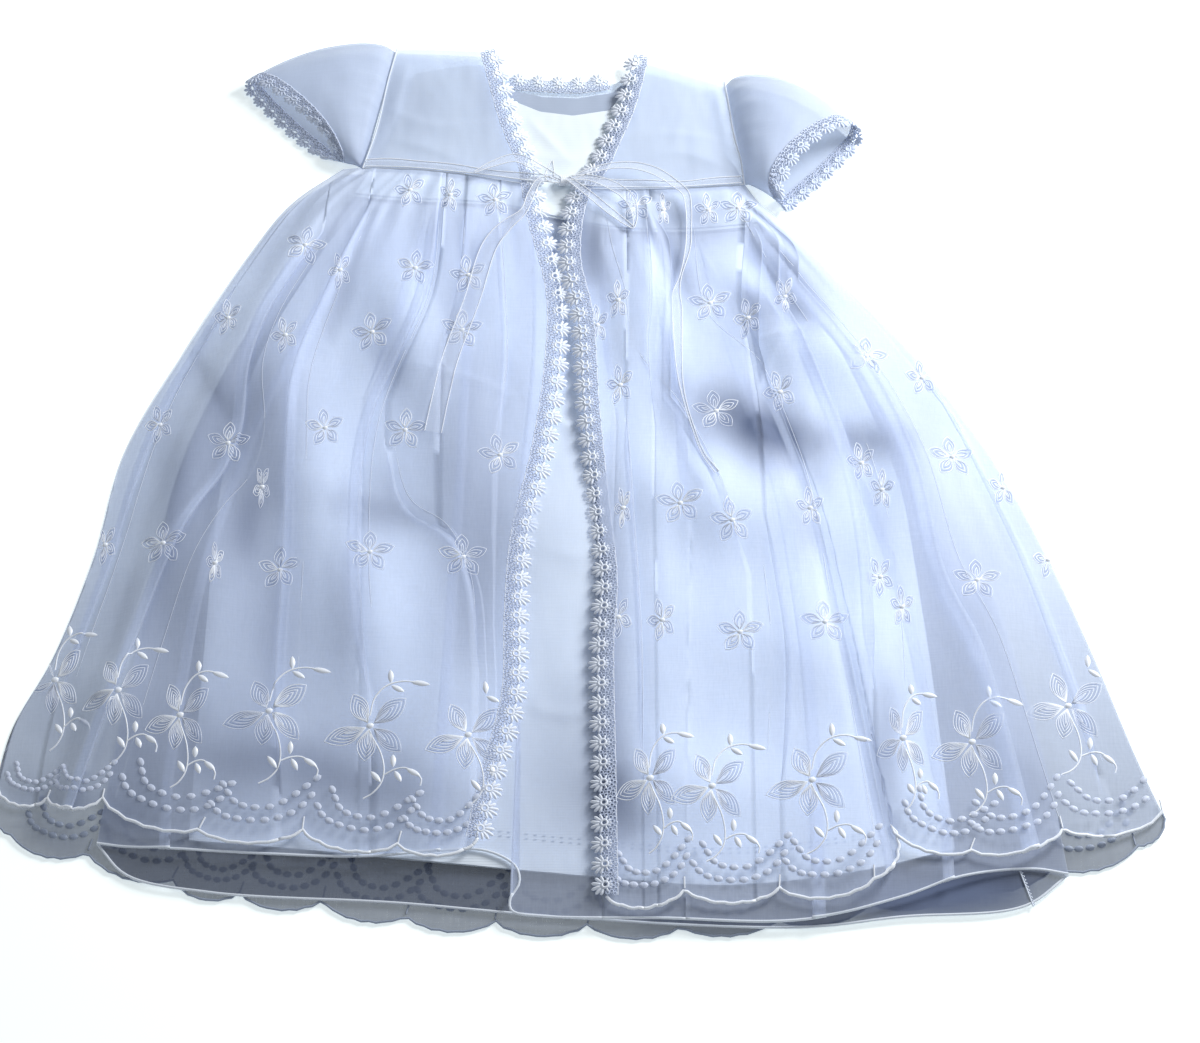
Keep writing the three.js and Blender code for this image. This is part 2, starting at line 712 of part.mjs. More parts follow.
const plan = {
  robeBodiceBack: bodice({
    top: ROBE_BACK_TOP,
    foot: between(waist, ROBE_LEFT_ARMHOLE.at(-1), ROBE_RIGHT_ARMHOLE.at(-1)),
    left: ROBE_LEFT_ARMHOLE,
    right: ROBE_RIGHT_ARMHOLE,
  }),
  robeSkirtBack: robeSkirt({
    top: waist,
    left: leftSide,
    right: rightSide,
    cusps: BACK_HEM_CUSPS,
    perScallop: BACK_COLUMNS_PER_SCALLOP,
    rows: PLAIN_ROWS,
  }),
  dressBodiceBack: bodice({ top: DRESS_BACK_TOP, foot: dressWaist, ...dressArmholes }),
  dressBackSheer: dressSkirt({ ...dressSides, hem: DRESS_BACK_HEM, columnCount: 24 }),
  liningBack: lining,
  liningFront: lining,
  dressBodiceFront: bodice({ top: DRESS_FRONT_TOP, foot: dressWaist, ...dressArmholes }),
  dressFrontSheer: dressSkirt({ ...dressSides, hem: DRESS_FRONT_HEM, columnCount: 48 }),
  robeBodiceFrontLeft: bodice({
    top: ROBE_BACK_TOP.slice(0, 3),
    foot: between(waist, ROBE_LEFT_ARMHOLE.at(-1), LEFT_NECK_EDGE.at(-1)),
    left: ROBE_LEFT_ARMHOLE,
    right: LEFT_NECK_EDGE,
    columnCount: 10,
  }),
  robeBodiceFrontRight: bodice({
    top: ROBE_BACK_TOP.slice(-3),
    foot: between(waist, RIGHT_NECK_EDGE.at(-1), ROBE_RIGHT_ARMHOLE.at(-1)),
    left: RIGHT_NECK_EDGE,
    right: ROBE_RIGHT_ARMHOLE,
    columnCount: 10,
  }),
  robeSkirtFrontLeft: robeSkirt({
    top: between(waist, ROBE_WAIST[0], LEFT_FRONT_EDGE[0]),
    left: leftSide,
    right: leftFrontEdge,
    cusps: LEFT_HEM_CUSPS,
    perScallop: COLUMNS_PER_SCALLOP,
    rows: SKIRT_ROWS,
  }),
  robeSkirtFrontRight: robeSkirt({
    top: between(waist, RIGHT_FRONT_EDGE[0], ROBE_WAIST.at(-1)),
    left: rightFrontEdge,
    right: rightSide,
    cusps: RIGHT_HEM_CUSPS,
    perScallop: COLUMNS_PER_SCALLOP,
    rows: SKIRT_ROWS,
  }),
};

// Lift of a robe front: large folds and gathers, all dying away towards its two edges.
function robeFrontLift(grid, folds, laceOnRight) {
  const end = grid[0].length - 1;
  const lace = laceOnRight ? end : 0;
  return (i, j) => {
    const line = grid[j];
    const down = SKIRT_ROWS[j];
    const width = line[0].distanceTo(line[end]);
    const large = folds.reduce((sum, fold) => sum + foldLift(fold, i / end, down, width), 0);
    const gathers = gatherLift(i, line[i].distanceTo(grid[0][i]));
    const laceGap = line[i].distanceTo(line[lace]);
    const fromLace = THREE.MathUtils.smoothstep(laceGap, LACE_FLAT.from, LACE_FLAT.to);
    const fromSide = THREE.MathUtils.smoothstep(line[i].distanceTo(line[end - lace]), 0, SIDE_FLAT);
    const fromWaist = THREE.MathUtils.smoothstep(down, 0, SEAM_BAND);
    return fromLace * fromSide * (large * fromWaist + gathers);
  };
}

const dressGathers = (i, j) => {
  const grid = plan.dressFrontSheer;
  return DRESS_GATHER_SHARE * gatherLift(i, grid[j][i].distanceTo(grid[0][i]));
};

// Room that the dress's gathers take under the robe, by the distance below the dress's waist.
function dressGatherLoft(x, y) {
  const share = (x - DRESS_WAIST[0].x) / (DRESS_WAIST.at(-1).x - DRESS_WAIST[0].x);
  const below = dressWaist(share).y - y;
  const rise = THREE.MathUtils.smoothstep(below, DRESS_LOFT_RISE.from, DRESS_LOFT_RISE.to);
  const fade = 1 - THREE.MathUtils.smoothstep(below, DRESS_LOFT_FADE.from, DRESS_LOFT_FADE.to);
  return DRESS_GATHER_SHARE * GATHER_LIFT * rise * fade;
}

addLayer(["robeBodiceBack", "robeSkirtBack"]);
addLayer(["dressBodiceBack", "dressBackSheer"]);
addLayer(["liningBack"]);
addLayer(["liningFront"]);
addLayer(["dressBodiceFront", "dressFrontSheer"], dressGatherLoft);
addLayer(["robeBodiceFrontLeft", "robeBodiceFrontRight", "robeSkirtFrontLeft", "robeSkirtFrontRight"]);

// Trim

// Strip of lace along an edge. petals is the side of the daisies: 1 to the left of the way along
// the edge, -1 to its right.
function laceStrip(edge, length, petals) {
  const daisies = Math.round(length / LACE_PITCH);
  const count = daisies * POINTS_PER_DAISY;
  const lines = evenly(count).map((share, i) => {
    const step = 0.5 / count;
    const way = edge(share + step).sub(edge(share - step)).normalize();
    const side = new THREE.Vector3(-way.y, way.x, 0).multiplyScalar(petals);
    const tip = LACE_PETAL_SIDE - (i % POINTS_PER_DAISY === 0 ? LACE_NOTCH : 0);
    const point = edge(share);
    return [
      point.clone().addScaledVector(side, -LACE_CLOTH_SIDE),
      point.clone().addScaledVector(side, tip),
    ];
  });
  return petals > 0 ? lines : lines.map((line) => line.reverse());
}

const edgeLength = (edge) =>
  evenly(EDGE_SAMPLES).reduce((sum, t) => sum + edge(t).distanceTo(edge(t - 1 / EDGE_SAMPLES)), 0);

// One edge after another, each with its share of the whole length.
function joinedEdge(first, second) {
  const split = edgeLength(first) / (edgeLength(first) + edgeLength(second));
  return (share) => (share < split ? first(share / split) : second((share - split) / (1 - split)));
}

const leftFront = joinedEdge(smoothEdge(LEFT_NECK_EDGE), leftFrontEdge);
const rightFront = joinedEdge(smoothEdge(RIGHT_NECK_EDGE), rightFrontEdge);
const backNeck = smoothEdge(BACK_NECK_LACE);
plan.laceLeft = laceStrip(leftFront, edgeLength(leftFront), 1);
plan.laceRight = laceStrip(rightFront, edgeLength(rightFront), -1);
plan.laceBackNeck = laceStrip(backNeck, edgeLength(backNeck), 1);

// Waist ribbon: it lies just above the waist seam.
function belt(from, to) {
  const seam = between(waist, from, to);
  const raised = (up) => evenly(BELT_COLUMNS).map((share) => seam(share).add(new THREE.Vector3(0, up, 0)));
  return [raised(BELT_WIDTH), raised(0)];
}

// The middle of the laid-out gown is the part's origin.
const gown = new THREE.Group();
gown.position.set(CENTRE_X, CENTRE_Y, 0);

function addPiece(name, geometry, colour, roughness = 0.8) {
  const material = new THREE.MeshStandardMaterial({ color: colour, roughness, metalness: 0 });
  const mesh = new THREE.Mesh(geometry, material);
  mesh.name = name;
  gown.add(mesh);
}

addPiece("robe_bodice_back", wall(plan.robeBodiceBack, 0), ORGANZA);
addPiece("robe_skirt_back", wall(plan.robeSkirtBack, 0), ORGANZA);
addPiece("lace_back_neck", wall(plan.laceBackNeck, 1, () => 0, LACE_WALL), GUIPURE);
addPiece("dress_bodice_back", wall(plan.dressBodiceBack, 1), SATIN, 0.4);
addPiece("dress_skirt_back_sheer", wall(plan.dressBackSheer, 1), ORGANZA);
addPiece("dress_skirt_back_lining", wall(plan.liningBack, 2), LINING);
addPiece("dress_skirt_front_lining", wall(plan.liningFront, 3), LINING);
addPiece("dress_bodice_front", wall(plan.dressBodiceFront, 4), SATIN, 0.4);
addPiece("dress_skirt_front_sheer", wall(plan.dressFrontSheer, 4, dressGathers), ORGANZA);
addPiece("robe_bodice_front_left", wall(plan.robeBodiceFrontLeft, 5), ORGANZA);
addPiece("robe_bodice_front_right", wall(plan.robeBodiceFrontRight, 5), ORGANZA);
const leftLift = robeFrontLift(plan.robeSkirtFrontLeft, LEFT_FOLDS, true);
const rightLift = robeFrontLift(plan.robeSkirtFrontRight, RIGHT_FOLDS, false);
addPiece("robe_skirt_front_left", wall(plan.robeSkirtFrontLeft, 5, leftLift), ORGANZA);
addPiece("robe_skirt_front_right", wall(plan.robeSkirtFrontRight, 5, rightLift), ORGANZA);

addPiece("lace_front_left", wall(plan.laceLeft, 6, () => 0, LACE_WALL), GUIPURE);
addLayer(["laceLeft"]);
addPiece("lace_front_right", wall(plan.laceRight, 7, () => 0, LACE_WALL), GUIPURE);
addLayer(["laceRight"]);

// Sleeves and their cuff lace
const sleeveGathers = (i, j) => {
  const near = [0, 1, 0.6, 0.2][j] ?? 0;
  return SLEEVE_GATHER_LIFT * near * Math.sin((SLEEVE_GATHERS * 2 * Math.PI * i) / SLEEVE_POINTS);
};

// Cuff section moved along the sleeve.
function beyondCuff(row, hand, distance) {
  const line = new THREE.Vector2(row.lowX - row.topX, row.lowY - row.topY).normalize();
  const dx = -line.y * hand * distance;
  const dy = line.x * hand * distance;
  return {
    ...row,
    loft: row.loft - CUFF_LACE_CLEAR,
    topX: row.topX + dx,
    topY: row.topY + dy,
    lowX: row.lowX + dx,
    lowY: row.lowY + dy,
  };
}

for (const [side, sections, hand] of [
  ["left", LEFT_SLEEVE, -1],
  ["right", RIGHT_SLEEVE, 1],
]) {
  const sleeve = { hand, count: SLEEVE_POINTS, thickness: WALL, wave: sleeveGathers };
  addPiece("robe_sleeve_" + side, tube(sections, sleeve), ORGANZA);
  const cuff = sections.at(-1);
  const rows = [beyondCuff(cuff, hand, SEAM), beyondCuff(cuff, hand, CUFF_LACE_DEPTH)];
  const lace = {
    hand,
    base: CUFF_LACE_CLEAR,
    count: CUFF_LACE_DAISIES * POINTS_PER_DAISY,
    thickness: LACE_WALL,
    reach: (i) => (i % POINTS_PER_DAISY === 0 ? -LACE_NOTCH : 0),
  };
  addPiece("lace_cuff_" + side, tube(rows, lace), GUIPURE);
}

// Ribbon and bow
const knotEdge = KNOT.wide / 2 + REST_GAP;
plan.beltLeft = belt({ x: -131, y: 200 }, { x: KNOT.x - knotEdge, y: 187 });
plan.beltRight = belt({ x: KNOT.x + knotEdge, y: 186 }, { x: 96, y: 189 });
addPiece("waist_ribbon_left", wall(plan.beltLeft, 8, () => 0, RIBBON_WALL), RIBBON, 0.5);
addPiece("waist_ribbon_right", wall(plan.beltRight, 8, () => 0, RIBBON_WALL), RIBBON, 0.5);

// Highest cloth within a short distance of a place.
function topNear(x, y, distance) {
  const down = new THREE.Vector3(0, 0, -1);
  const above = new THREE.Vector3(x, y, 100);
  const ring = evenly(8).map((turn) =>
    above.clone().add(new THREE.Vector3(distance, 0, 0).applyAxisAngle(down, 2 * Math.PI * turn)),
  );
  const hits = [above, ...ring].flatMap((start) =>
    new THREE.Raycaster(start, down).intersectObjects(gown.children),
  );
  return Math.max(0, ...hits.map((hit) => hit.point.z));
}

// Height at which a bow loop or the knot rests.
const restOver = (places) =>
  REST_GAP + Math.max(...places.map(([x, y]) => topNear(x, y, LOOP_SPREAD)));

function addLoop(name, sections, hand) {
  const shares = evenly(LOOP_CHECKS).filter((t) => Math.min(t, 1 - t) > LOOP_CREASE);
  const places = sections.flatMap((row) =>
    shares.map((t) => [
      THREE.MathUtils.lerp(row.topX, row.lowX, t),
      THREE.MathUtils.lerp(row.topY, row.lowY, t),
    ]),
  );
  const base = restOver(places);
  const loop = { hand, count: LOOP_POINTS, thickness: RIBBON_WALL, base };
  addPiece(name, tube(sections, loop), RIBBON, 0.5);
}

function addTail(name, rows) {
  const curve = smoothEdge(rows);
  const steps = Math.round(edgeLength(curve) / TAIL_STEP);
  const lines = evenly(steps).map((share) => {
    const step = 0.5 / steps;
    const way = curve(share + step).sub(curve(share - step)).normalize();
    const side = new THREE.Vector3(-way.y, way.x, 0);
    const place = share * (rows.length - 1);
    const start = Math.min(Math.floor(place), rows.length - 2);
    const width = THREE.MathUtils.lerp(rows[start].wide, rows[start + 1].wide, place - start);
    return [-1, 0, 1].map((s) => curve(share).addScaledVector(side, (s * width) / 2));
  });
  lines.forEach((line) => line.forEach((p) => p.setZ(REST_GAP + topNear(p.x, p.y, TAIL_SPREAD))));
  addPiece(name, closeGrid(lines, RIBBON_WALL), RIBBON, 0.5);
}

const knot = new THREE.SphereGeometry(0.5, 10, 6).scale(KNOT.wide, KNOT.deep, KNOT.tall);
const knotRest = restOver([[KNOT.x, KNOT.y]]);
knot.translate(KNOT.x, KNOT.y, knotRest + KNOT.tall / 2);
addPiece("bow_knot", knot, RIBBON, 0.5);
addLoop("bow_loop_left", LEFT_LOOP, -1);
addLoop("bow_loop_right", RIGHT_LOOP, 1);
addTail("bow_tail_left", LEFT_TAIL);
addTail("bow_tail_right", RIGHT_TAIL);

export default gown;
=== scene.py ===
"""Christening gown laid flat: its cloth, lace, ribbon and embroidery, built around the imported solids.

The shape tables are in millimetres in the gown's own plan: +X to the right and +Y from hem to neck, as
seen from above. The part's origin is the middle of the laid-out gown, so every piece is shifted by
PLAN_SHIFT as it is made. Left and right are those of somebody who looks down on the front.
"""

import logging
import math
from dataclasses import dataclass, field
from enum import Enum
from typing import Callable, Sequence

import bpy
import numpy as np
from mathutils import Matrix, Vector, noise
from mathutils.bvhtree import BVHTree


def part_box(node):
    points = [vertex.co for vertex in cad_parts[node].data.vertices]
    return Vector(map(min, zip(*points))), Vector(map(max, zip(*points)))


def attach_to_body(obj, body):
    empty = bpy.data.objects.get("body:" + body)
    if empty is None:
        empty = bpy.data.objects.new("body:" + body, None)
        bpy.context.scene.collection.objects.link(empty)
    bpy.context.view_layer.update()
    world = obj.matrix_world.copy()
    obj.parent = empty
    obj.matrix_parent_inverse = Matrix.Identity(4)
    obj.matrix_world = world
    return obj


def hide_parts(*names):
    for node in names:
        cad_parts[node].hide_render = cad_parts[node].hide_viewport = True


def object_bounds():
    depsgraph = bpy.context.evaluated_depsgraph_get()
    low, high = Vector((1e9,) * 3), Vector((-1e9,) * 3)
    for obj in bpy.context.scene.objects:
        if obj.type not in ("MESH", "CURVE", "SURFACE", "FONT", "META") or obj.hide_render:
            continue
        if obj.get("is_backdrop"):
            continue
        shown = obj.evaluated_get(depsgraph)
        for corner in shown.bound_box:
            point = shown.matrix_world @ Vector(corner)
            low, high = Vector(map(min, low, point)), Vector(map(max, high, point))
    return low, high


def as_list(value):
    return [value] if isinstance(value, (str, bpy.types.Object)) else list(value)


log = logging.getLogger("gown")

MM = 0.001
PLAN_SHIFT = (2.35, -1.25)
# Thickness of the solids' walls. A cloth is laid out in the middle of its solid's upper wall.
WALL = 1.2
Rows = Sequence[tuple[float, ...]]
Array = np.ndarray
# A figure of the embroidery: its picture place, its turn in degrees, and how much a fold narrows it.
Figure = tuple[float, float, float, float]


# Shapes in plan


def blend(a: Array, b: Array, start: float, end: float, at: Array) -> Array:
    """From a at start to b at end."""
    return (end - at) / (end - start) * a + (at - start) / (end - start) * b


def smooth_points(rows: Rows, per_stretch: int = 40) -> Array:
    """Points along a centripetal Catmull-Rom curve through the rows.

    Args:
        rows: places that the curve passes through.
        per_stretch: points between two rows.

    Returns:
        An array of places, one row each.
    """
    knots = np.array(rows, float)
    ends = 2 * knots[0] - knots[1], 2 * knots[-1] - knots[-2]
    knots = np.vstack([ends[0], knots, ends[1]])
    found = [knots[1]]
    for p0, p1, p2, p3 in zip(knots, knots[1:], knots[2:], knots[3:]):
        gaps = [math.sqrt(max(np.linalg.norm(b - a), 1e-6)) for a, b in ((p0, p1), (p1, p2), (p2, p3))]
        t0, t1, t2, t3 = 0.0, gaps[0], gaps[0] + gaps[1], gaps[0] + gaps[1] + gaps[2]
        t = np.linspace(t1, t2, per_stretch + 1)[1:, None]
        a1, a2, a3 = blend(p0, p1, t0, t1, t), blend(p1, p2, t1, t2, t), blend(p2, p3, t2, t3, t)
        b1, b2 = blend(a1, a2, t0, t2, t), blend(a2, a3, t1, t3, t)
        found.extend(blend(b1, b2, t1, t2, t))
    return np.array(found)


class Edge:
    """A line in plan, addressed by the share of its length."""

    def __init__(self, points: Array, shares: Array | None = None) -> None:
        """Takes the line's points, and their shares where those don't follow its length.

        Args:
            points: places along the line.
            shares: share of each, from 0 to 1.
        """
        self.points = np.asarray(points, float)
        steps = np.linalg.norm(np.diff(self.points, axis=0), axis=1)
        self.length = float(steps.sum())
        along = np.concatenate([[0.0], np.cumsum(steps)]) / max(self.length, 1e-9)
        self.shares = along if shares is None else shares

    @classmethod
    def smooth(cls, rows: Rows) -> "Edge":
        """A smooth edge through the rows."""
        return cls(smooth_points(rows))

    @classmethod
    def cornered(cls, rows: Rows) -> "Edge":
        """Straight stretches from row to row, each with the same share."""
        return cls(np.array(rows, float), np.linspace(0, 1, len(rows)))

    @classmethod
    def scalloped(cls, cusps: Rows) -> "Edge":
        """A hem of scallops with small lobes, hung from cusps.

        Args:
            cusps: places where two scallops meet.

        Returns:
            The edge, each scallop with the same share.
        """
        ends = np.array(cusps, float)
        t = np.linspace(0, 1, 41)[:, None]
        found = [ends[:1]]
        for a, b in zip(ends, ends[1:]):
            chord = b - a
            wide = np.linalg.norm(chord)
            down = np.array([chord[1], -chord[0]]) / max(wide, 1e-9)
            bulge = min(SCALLOP_DEPTH, 0.25 * wide) * (4 * t * (1 - t)).clip(0) ** 0.75
            bulge = bulge + LOBE_DEPTH * np.abs(np.sin(LOBES * math.pi * t))
            found.append((a + chord * t + down * bulge)[1:])
        points = np.vstack(found)
        return cls(points, np.linspace(0, 1, len(points)))

    def at(self, share: Array) -> Array:
        """Places at the given shares."""
        share = np.clip(share, 0, 1)
        return np.stack([np.interp(share, self.shares, self.points[:, k]) for k in (0, 1)], axis=-1)

    def way(self, share: Array) -> Array:
        """Unit directions along the edge at the given shares."""
        step = 0.004
        return unit(self.at(np.minimum(share + step, 1)) - self.at(np.maximum(share - step, 0)))

    def near(self, place: Sequence[float]) -> float:
        """Share of the edge that comes closest to a place."""
        shares = np.linspace(0, 1, 801)
        return float(shares[np.linalg.norm(self.at(shares) - np.array(place), axis=1).argmin()])

    def part(self, first: Sequence[float], last: Sequence[float]) -> "Edge":
        """The stretch between the points nearest two places."""
        return Edge(self.at(np.linspace(self.near(first), self.near(last), 201)))

    def joined(self, other: "Edge") -> "Edge":
        """This edge and another after it."""
        return Edge(np.vstack([self.points, other.points[1:]]))


def unit(ways: Array) -> Array:
    """Directions of length 1."""
    return ways / np.maximum(np.linalg.norm(ways, axis=-1, keepdims=True), 1e-9)


def evened(values: Array) -> Array:
    """A row of values, each the mean of the seven round it."""
    return np.convolve(np.pad(values, 3, mode="edge"), np.ones(7) / 7, "valid")


def smoothstep(value: Array, low: float, high: float) -> Array:
    """0 below low and 1 above high, with a soft change between."""
    t = np.clip((value - low) / (high - low), 0, 1)
    return t * t * (3 - 2 * t)


def distance_to_line(places: Array, line: Array) -> tuple[Array, Array]:
    """Distance from places to a line, and how far along the line they are.

    Args:
        places: an array whose last axis is x, y.
        line: the line's points.

    Returns:
        Distances, with a sign for the side, and shares of the line's length.
    """
    nearest = np.full(places.shape[:-1], np.inf)
    sign = np.ones(places.shape[:-1])
    along = np.zeros(places.shape[:-1])
    steps = np.linalg.norm(np.diff(line, axis=0), axis=1)
    before = np.concatenate([[0.0], np.cumsum(steps)])
    for k, (a, b) in enumerate(zip(line, line[1:])):
        way = b - a
        t = np.clip(((places - a) @ way) / max(way @ way, 1e-9), 0, 1)
        gap = places - a - t[..., None] * way
        distance = np.linalg.norm(gap, axis=-1)
        closer = distance < nearest
        nearest = np.where(closer, distance, nearest)
        side = way[0] * gap[..., 1] - way[1] * gap[..., 0]
        sign = np.where(closer, np.where(side < 0, -1.0, 1.0), sign)
        along = np.where(closer, (before[k] + t * steps[k]) / before[-1], along)
    return nearest * sign, along


# The gown's plan, the same sizes as the part's source

SCALLOP_DEPTH = 8.0
LOBE_DEPTH = 0.9
LOBES = 5
LACE_PITCH = 12.0
BELT_WIDTH = 7.0

ROBE_WAIST = [(-145, 200), (-110, 200), (-74, 196), (-30, 188), (10, 185), (55, 186), (98, 189)]
ROBE_LEFT_SIDE = [
    (-145, 200), (-175, 177), (-199, 141), (-235, 72), (-265, 5), (-277, -61), (-295, -124), (-313, -165),
    (-320, -205),
]
ROBE_RIGHT_SIDE = [
    (98, 189), (107, 174), (129, 153), (159, 118), (195, 72), (236, 5), (265, -61), (287, -124), (306, -185),
    (318, -219),
]
LEFT_FRONT_EDGE = [
    (-31, 188), (-27, 163), (-15, 108), (-16, 57), (-23, 2), (-34, -53), (-37, -100), (-38, -153), (-50, -205),
    (-56, -238),
]
RIGHT_FRONT_EDGE = [
    (-1, 186), (-6, 160), (-7, 130), (0, 94), (4, 30), (10, -37), (14, -81), (12, -120), (13, -200), (14, -271),
]
LEFT_HEM_CUSPS = [(-320, -205), (-292, -211), (-261, -213), (-207, -232), (-151, -232), (-99, -241), (-56, -238)]
RIGHT_HEM_CUSPS = [
    (14, -271), (56, -267), (107, -266), (158, -262), (168, -230), (211, -244), (262, -231), (318, -219),
]
BACK_HEM_CUSPS = [
    (-320, -205), (-309, -232), (-268, -241), (-221, -257), (-184, -265), (-139, -269), (-94, -278), (-46, -281),
    (4, -283), (54, -284), (106, -280), (156, -271), (206, -262), (256, -250), (302, -238), (318, -219),
]
DRESS_WAIST = [(-138, 180), (-110, 177), (-50, 173), (-12, 163), (30, 155), (70, 155), (106, 159)]
DRESS_LEFT_SIDE = [
    (-138, 180), (-163, 145), (-197, 85), (-228, 5), (-242, -70), (-251, -140), (-259, -200), (-263, -238),
]
DRESS_RIGHT_SIDE = [
    (106, 159), (135, 118), (165, 72), (200, 5), (224, -60), (243, -130), (257, -200), (264, -256),
]
DRESS_BACK_HEM = [
    (-263, -238), (-246, -256), (-200, -266), (-100, -272), (0, -281), (118, -286), (173, -280), (239, -274),
    (264, -256),
]
LINING_LEFT_SIDE = [(-132, 178), (-157, 138), (-188, 70), (-205, 0), (-210, -100), (-213, -237)]
LINING_RIGHT_SIDE = [(99, 157), (128, 110), (158, 55), (180, -10), (192, -100), (203, -242)]
LINING_HEM = [(-213, -237), (-144, -243), (-65, -251), (7, -258), (80, -263), (150, -255), (203, -242)]
ROBE_BACK_TOP = [
    (-115, 290), (-86, 289), (-59, 287), (-48, 270), (-25, 264), (-1, 263), (20, 267), (37, 283), (62, 274),
    (87, 265),
]
BACK_NECK_LACE = [(-45, 268), (-25, 266), (-1, 265), (16, 268)]
ROBE_LEFT_ARMHOLE = [(-115, 290), (-120, 264), (-125, 232), (-130, 212), (-133, 200)]
ROBE_RIGHT_ARMHOLE = [(87, 265), (89, 250), (92, 225), (96, 206), (97.5, 189)]
LEFT_NECK_EDGE = [(-57, 287), (-51, 262), (-46, 241), (-40, 222), (-33, 204), (-31, 188)]
RIGHT_NECK_EDGE = [(34, 283), (30, 262), (24, 240), (16, 219), (10, 203), (-1, 186)]
DRESS_BACK_TOP = [
    (-104, 272), (-82, 277), (-62, 279), (-46, 262), (-25, 256), (-4, 255), (18, 259), (33, 274), (55, 267),
    (76, 257),
]
DRESS_FRONT_TOP = [
    (-104, 272), (-82, 277), (-62, 279), (-43, 252), (-26, 244), (-6, 241), (17, 245), (33, 274), (55, 267),
    (76, 257),
]
DRESS_LEFT_ARMHOLE = [(-104, 272), (-108, 250), (-116, 225), (-124, 208), (-138, 180)]
DRESS_RIGHT_ARMHOLE = [(76, 257), (79, 238), (86, 215), (95, 198), (106, 159)]

# Sleeve sections from armhole to cuff: top x, y, low x, y, loft, slant of the front, push of the back.
LEFT_SLEEVE = [
    (-115.6, 290, -133.6, 201, 6, 0, 0), (-122, 293, -134.5, 201.5, 11, 0, 0), (-133, 294, -136, 202, 14, 0, 0),
    (-148, 292, -138, 203, 16, 0, 1), (-165, 288, -141, 204, 16, 1, 2), (-182, 281, -144, 205.5, 15, 3, 2),
    (-196, 273, -147, 207, 14, 6, 3), (-204, 267, -149, 208, 13, 8, 3),
]
RIGHT_SLEEVE = [
    (87.4, 265, 98.6, 190.5, 6, 0, 0), (92, 268, 100.5, 189.5, 12, 0, 0), (100, 269, 103, 187.5, 17, 0, 0),
    (115, 267, 106, 185, 21, 1, 0), (131, 261, 109, 182.5, 23, 3, 1), (147, 250, 112, 180, 23, 6, 2),
    (159, 238, 115, 177.5, 22, 10, 3), (167, 229, 117, 175.5, 21, 13, 3),
]


# Finishes

# Painted shade: the tone that a cloth turns to where its mesh marks it as shaded.
PAINTED_SHADE_TONE = "5f6d8c"
# Height of the yarns, in metres, and the wave texture's scale for one band in each metre.
YARN_HEIGHT = 0.0003
WAVES = 0.314


def linear(colour: str) -> tuple[float, float, float, float]:
    """A linear colour with full alpha from an sRGB hex value."""
    shares = [int(colour[k : k + 2], 16) / 255 for k in (0, 2, 4)]
    return (*(s / 12.92 if s <= 0.04045 else ((s + 0.055) / 1.055) ** 2.4 for s in shares), 1.0)


def add_node(tree: bpy.types.NodeTree, kind: str, settings: dict | None = None, links: dict | None = None):
    """Adds a shader node.

    Args:
        tree: the material's node tree.
        kind: the node's type.
        settings: values for its sockets, by name or number, and for its properties.
        links: output sockets to join to its inputs, by the input's name or number.

    Returns:
        The node.
    """
    node = tree.nodes.new(kind)
    for name, value in (settings or {}).items():
        if isinstance(name, str) and hasattr(node, name):
            setattr(node, name, value)
        else:
            node.inputs[name].default_value = value
    for name, socket in (links or {}).items():
        tree.links.new(socket, node.inputs[name])
    return node


def new_material(name: str) -> tuple[bpy.types.Material, bpy.types.NodeTree]:
    """An empty node material, and its tree."""
    material = bpy.data.materials.new(name)
    material.use_nodes = True
    material.node_tree.nodes.clear()
    return material, material.node_tree


def streaks(
    tree: bpy.types.NodeTree, across_mm: float, along_mm: float, turn: float = 0.0
) -> bpy.types.NodeSocket:
    """Long soft streaks, as uneven yarn leaves in a woven cloth.

    Args:
        tree: the material's node tree.
        across_mm: width of a streak.
        along_mm: its length.
        turn: angle of the streaks from the Y axis.

    Returns:
        The socket with their pattern, from 0 to 1.
    """
    place = add_node(tree, "ShaderNodeTexCoord").outputs["Object"]
    across, along = 1 / (across_mm * MM), 1 / (along_mm * MM)
    turned = {"Rotation": (0, 0, turn), "Scale": (across, along, across)}
    vector = add_node(tree, "ShaderNodeMapping", turned, {"Vector": place}).outputs["Vector"]
    soft = {"Scale": 1.0, "Detail": 2.0, "Roughness": 0.5}
    return add_node(tree, "ShaderNodeTexNoise", soft, {"Vector": vector}).outputs["Fac"]


def painted_shade(
    tree: bpy.types.NodeTree, tone: bpy.types.NodeSocket
) -> tuple[bpy.types.NodeSocket, bpy.types.NodeSocket]:
    """Darkens a tone with painted shade, where the mesh marks a point as shaded.

    Args:
        tree: the material's node tree.
        tone: the cloth's own colour.

    Returns:
        How shaded each point is, and the colour that shows.
    """
    shaded = add_node(tree, "ShaderNodeAttribute", {"attribute_name": "shaded"}).outputs["Fac"]
    dark = {"data_type": "RGBA", 7: linear(PAINTED_SHADE_TONE)}
    return shaded, add_node(tree, "ShaderNodeMix", dark, {0: shaded, 6: tone}).outputs[2]


def close_material(tree: bpy.types.NodeTree, settings: dict, links: dict) -> None:
    """Adds the shader with its settings and links, and joins it to the output."""
    shader = add_node(tree, "ShaderNodeBsdfPrincipled", settings, links)
    add_node(tree, "ShaderNodeOutputMaterial", links={"Surface": shader.outputs["BSDF"]})


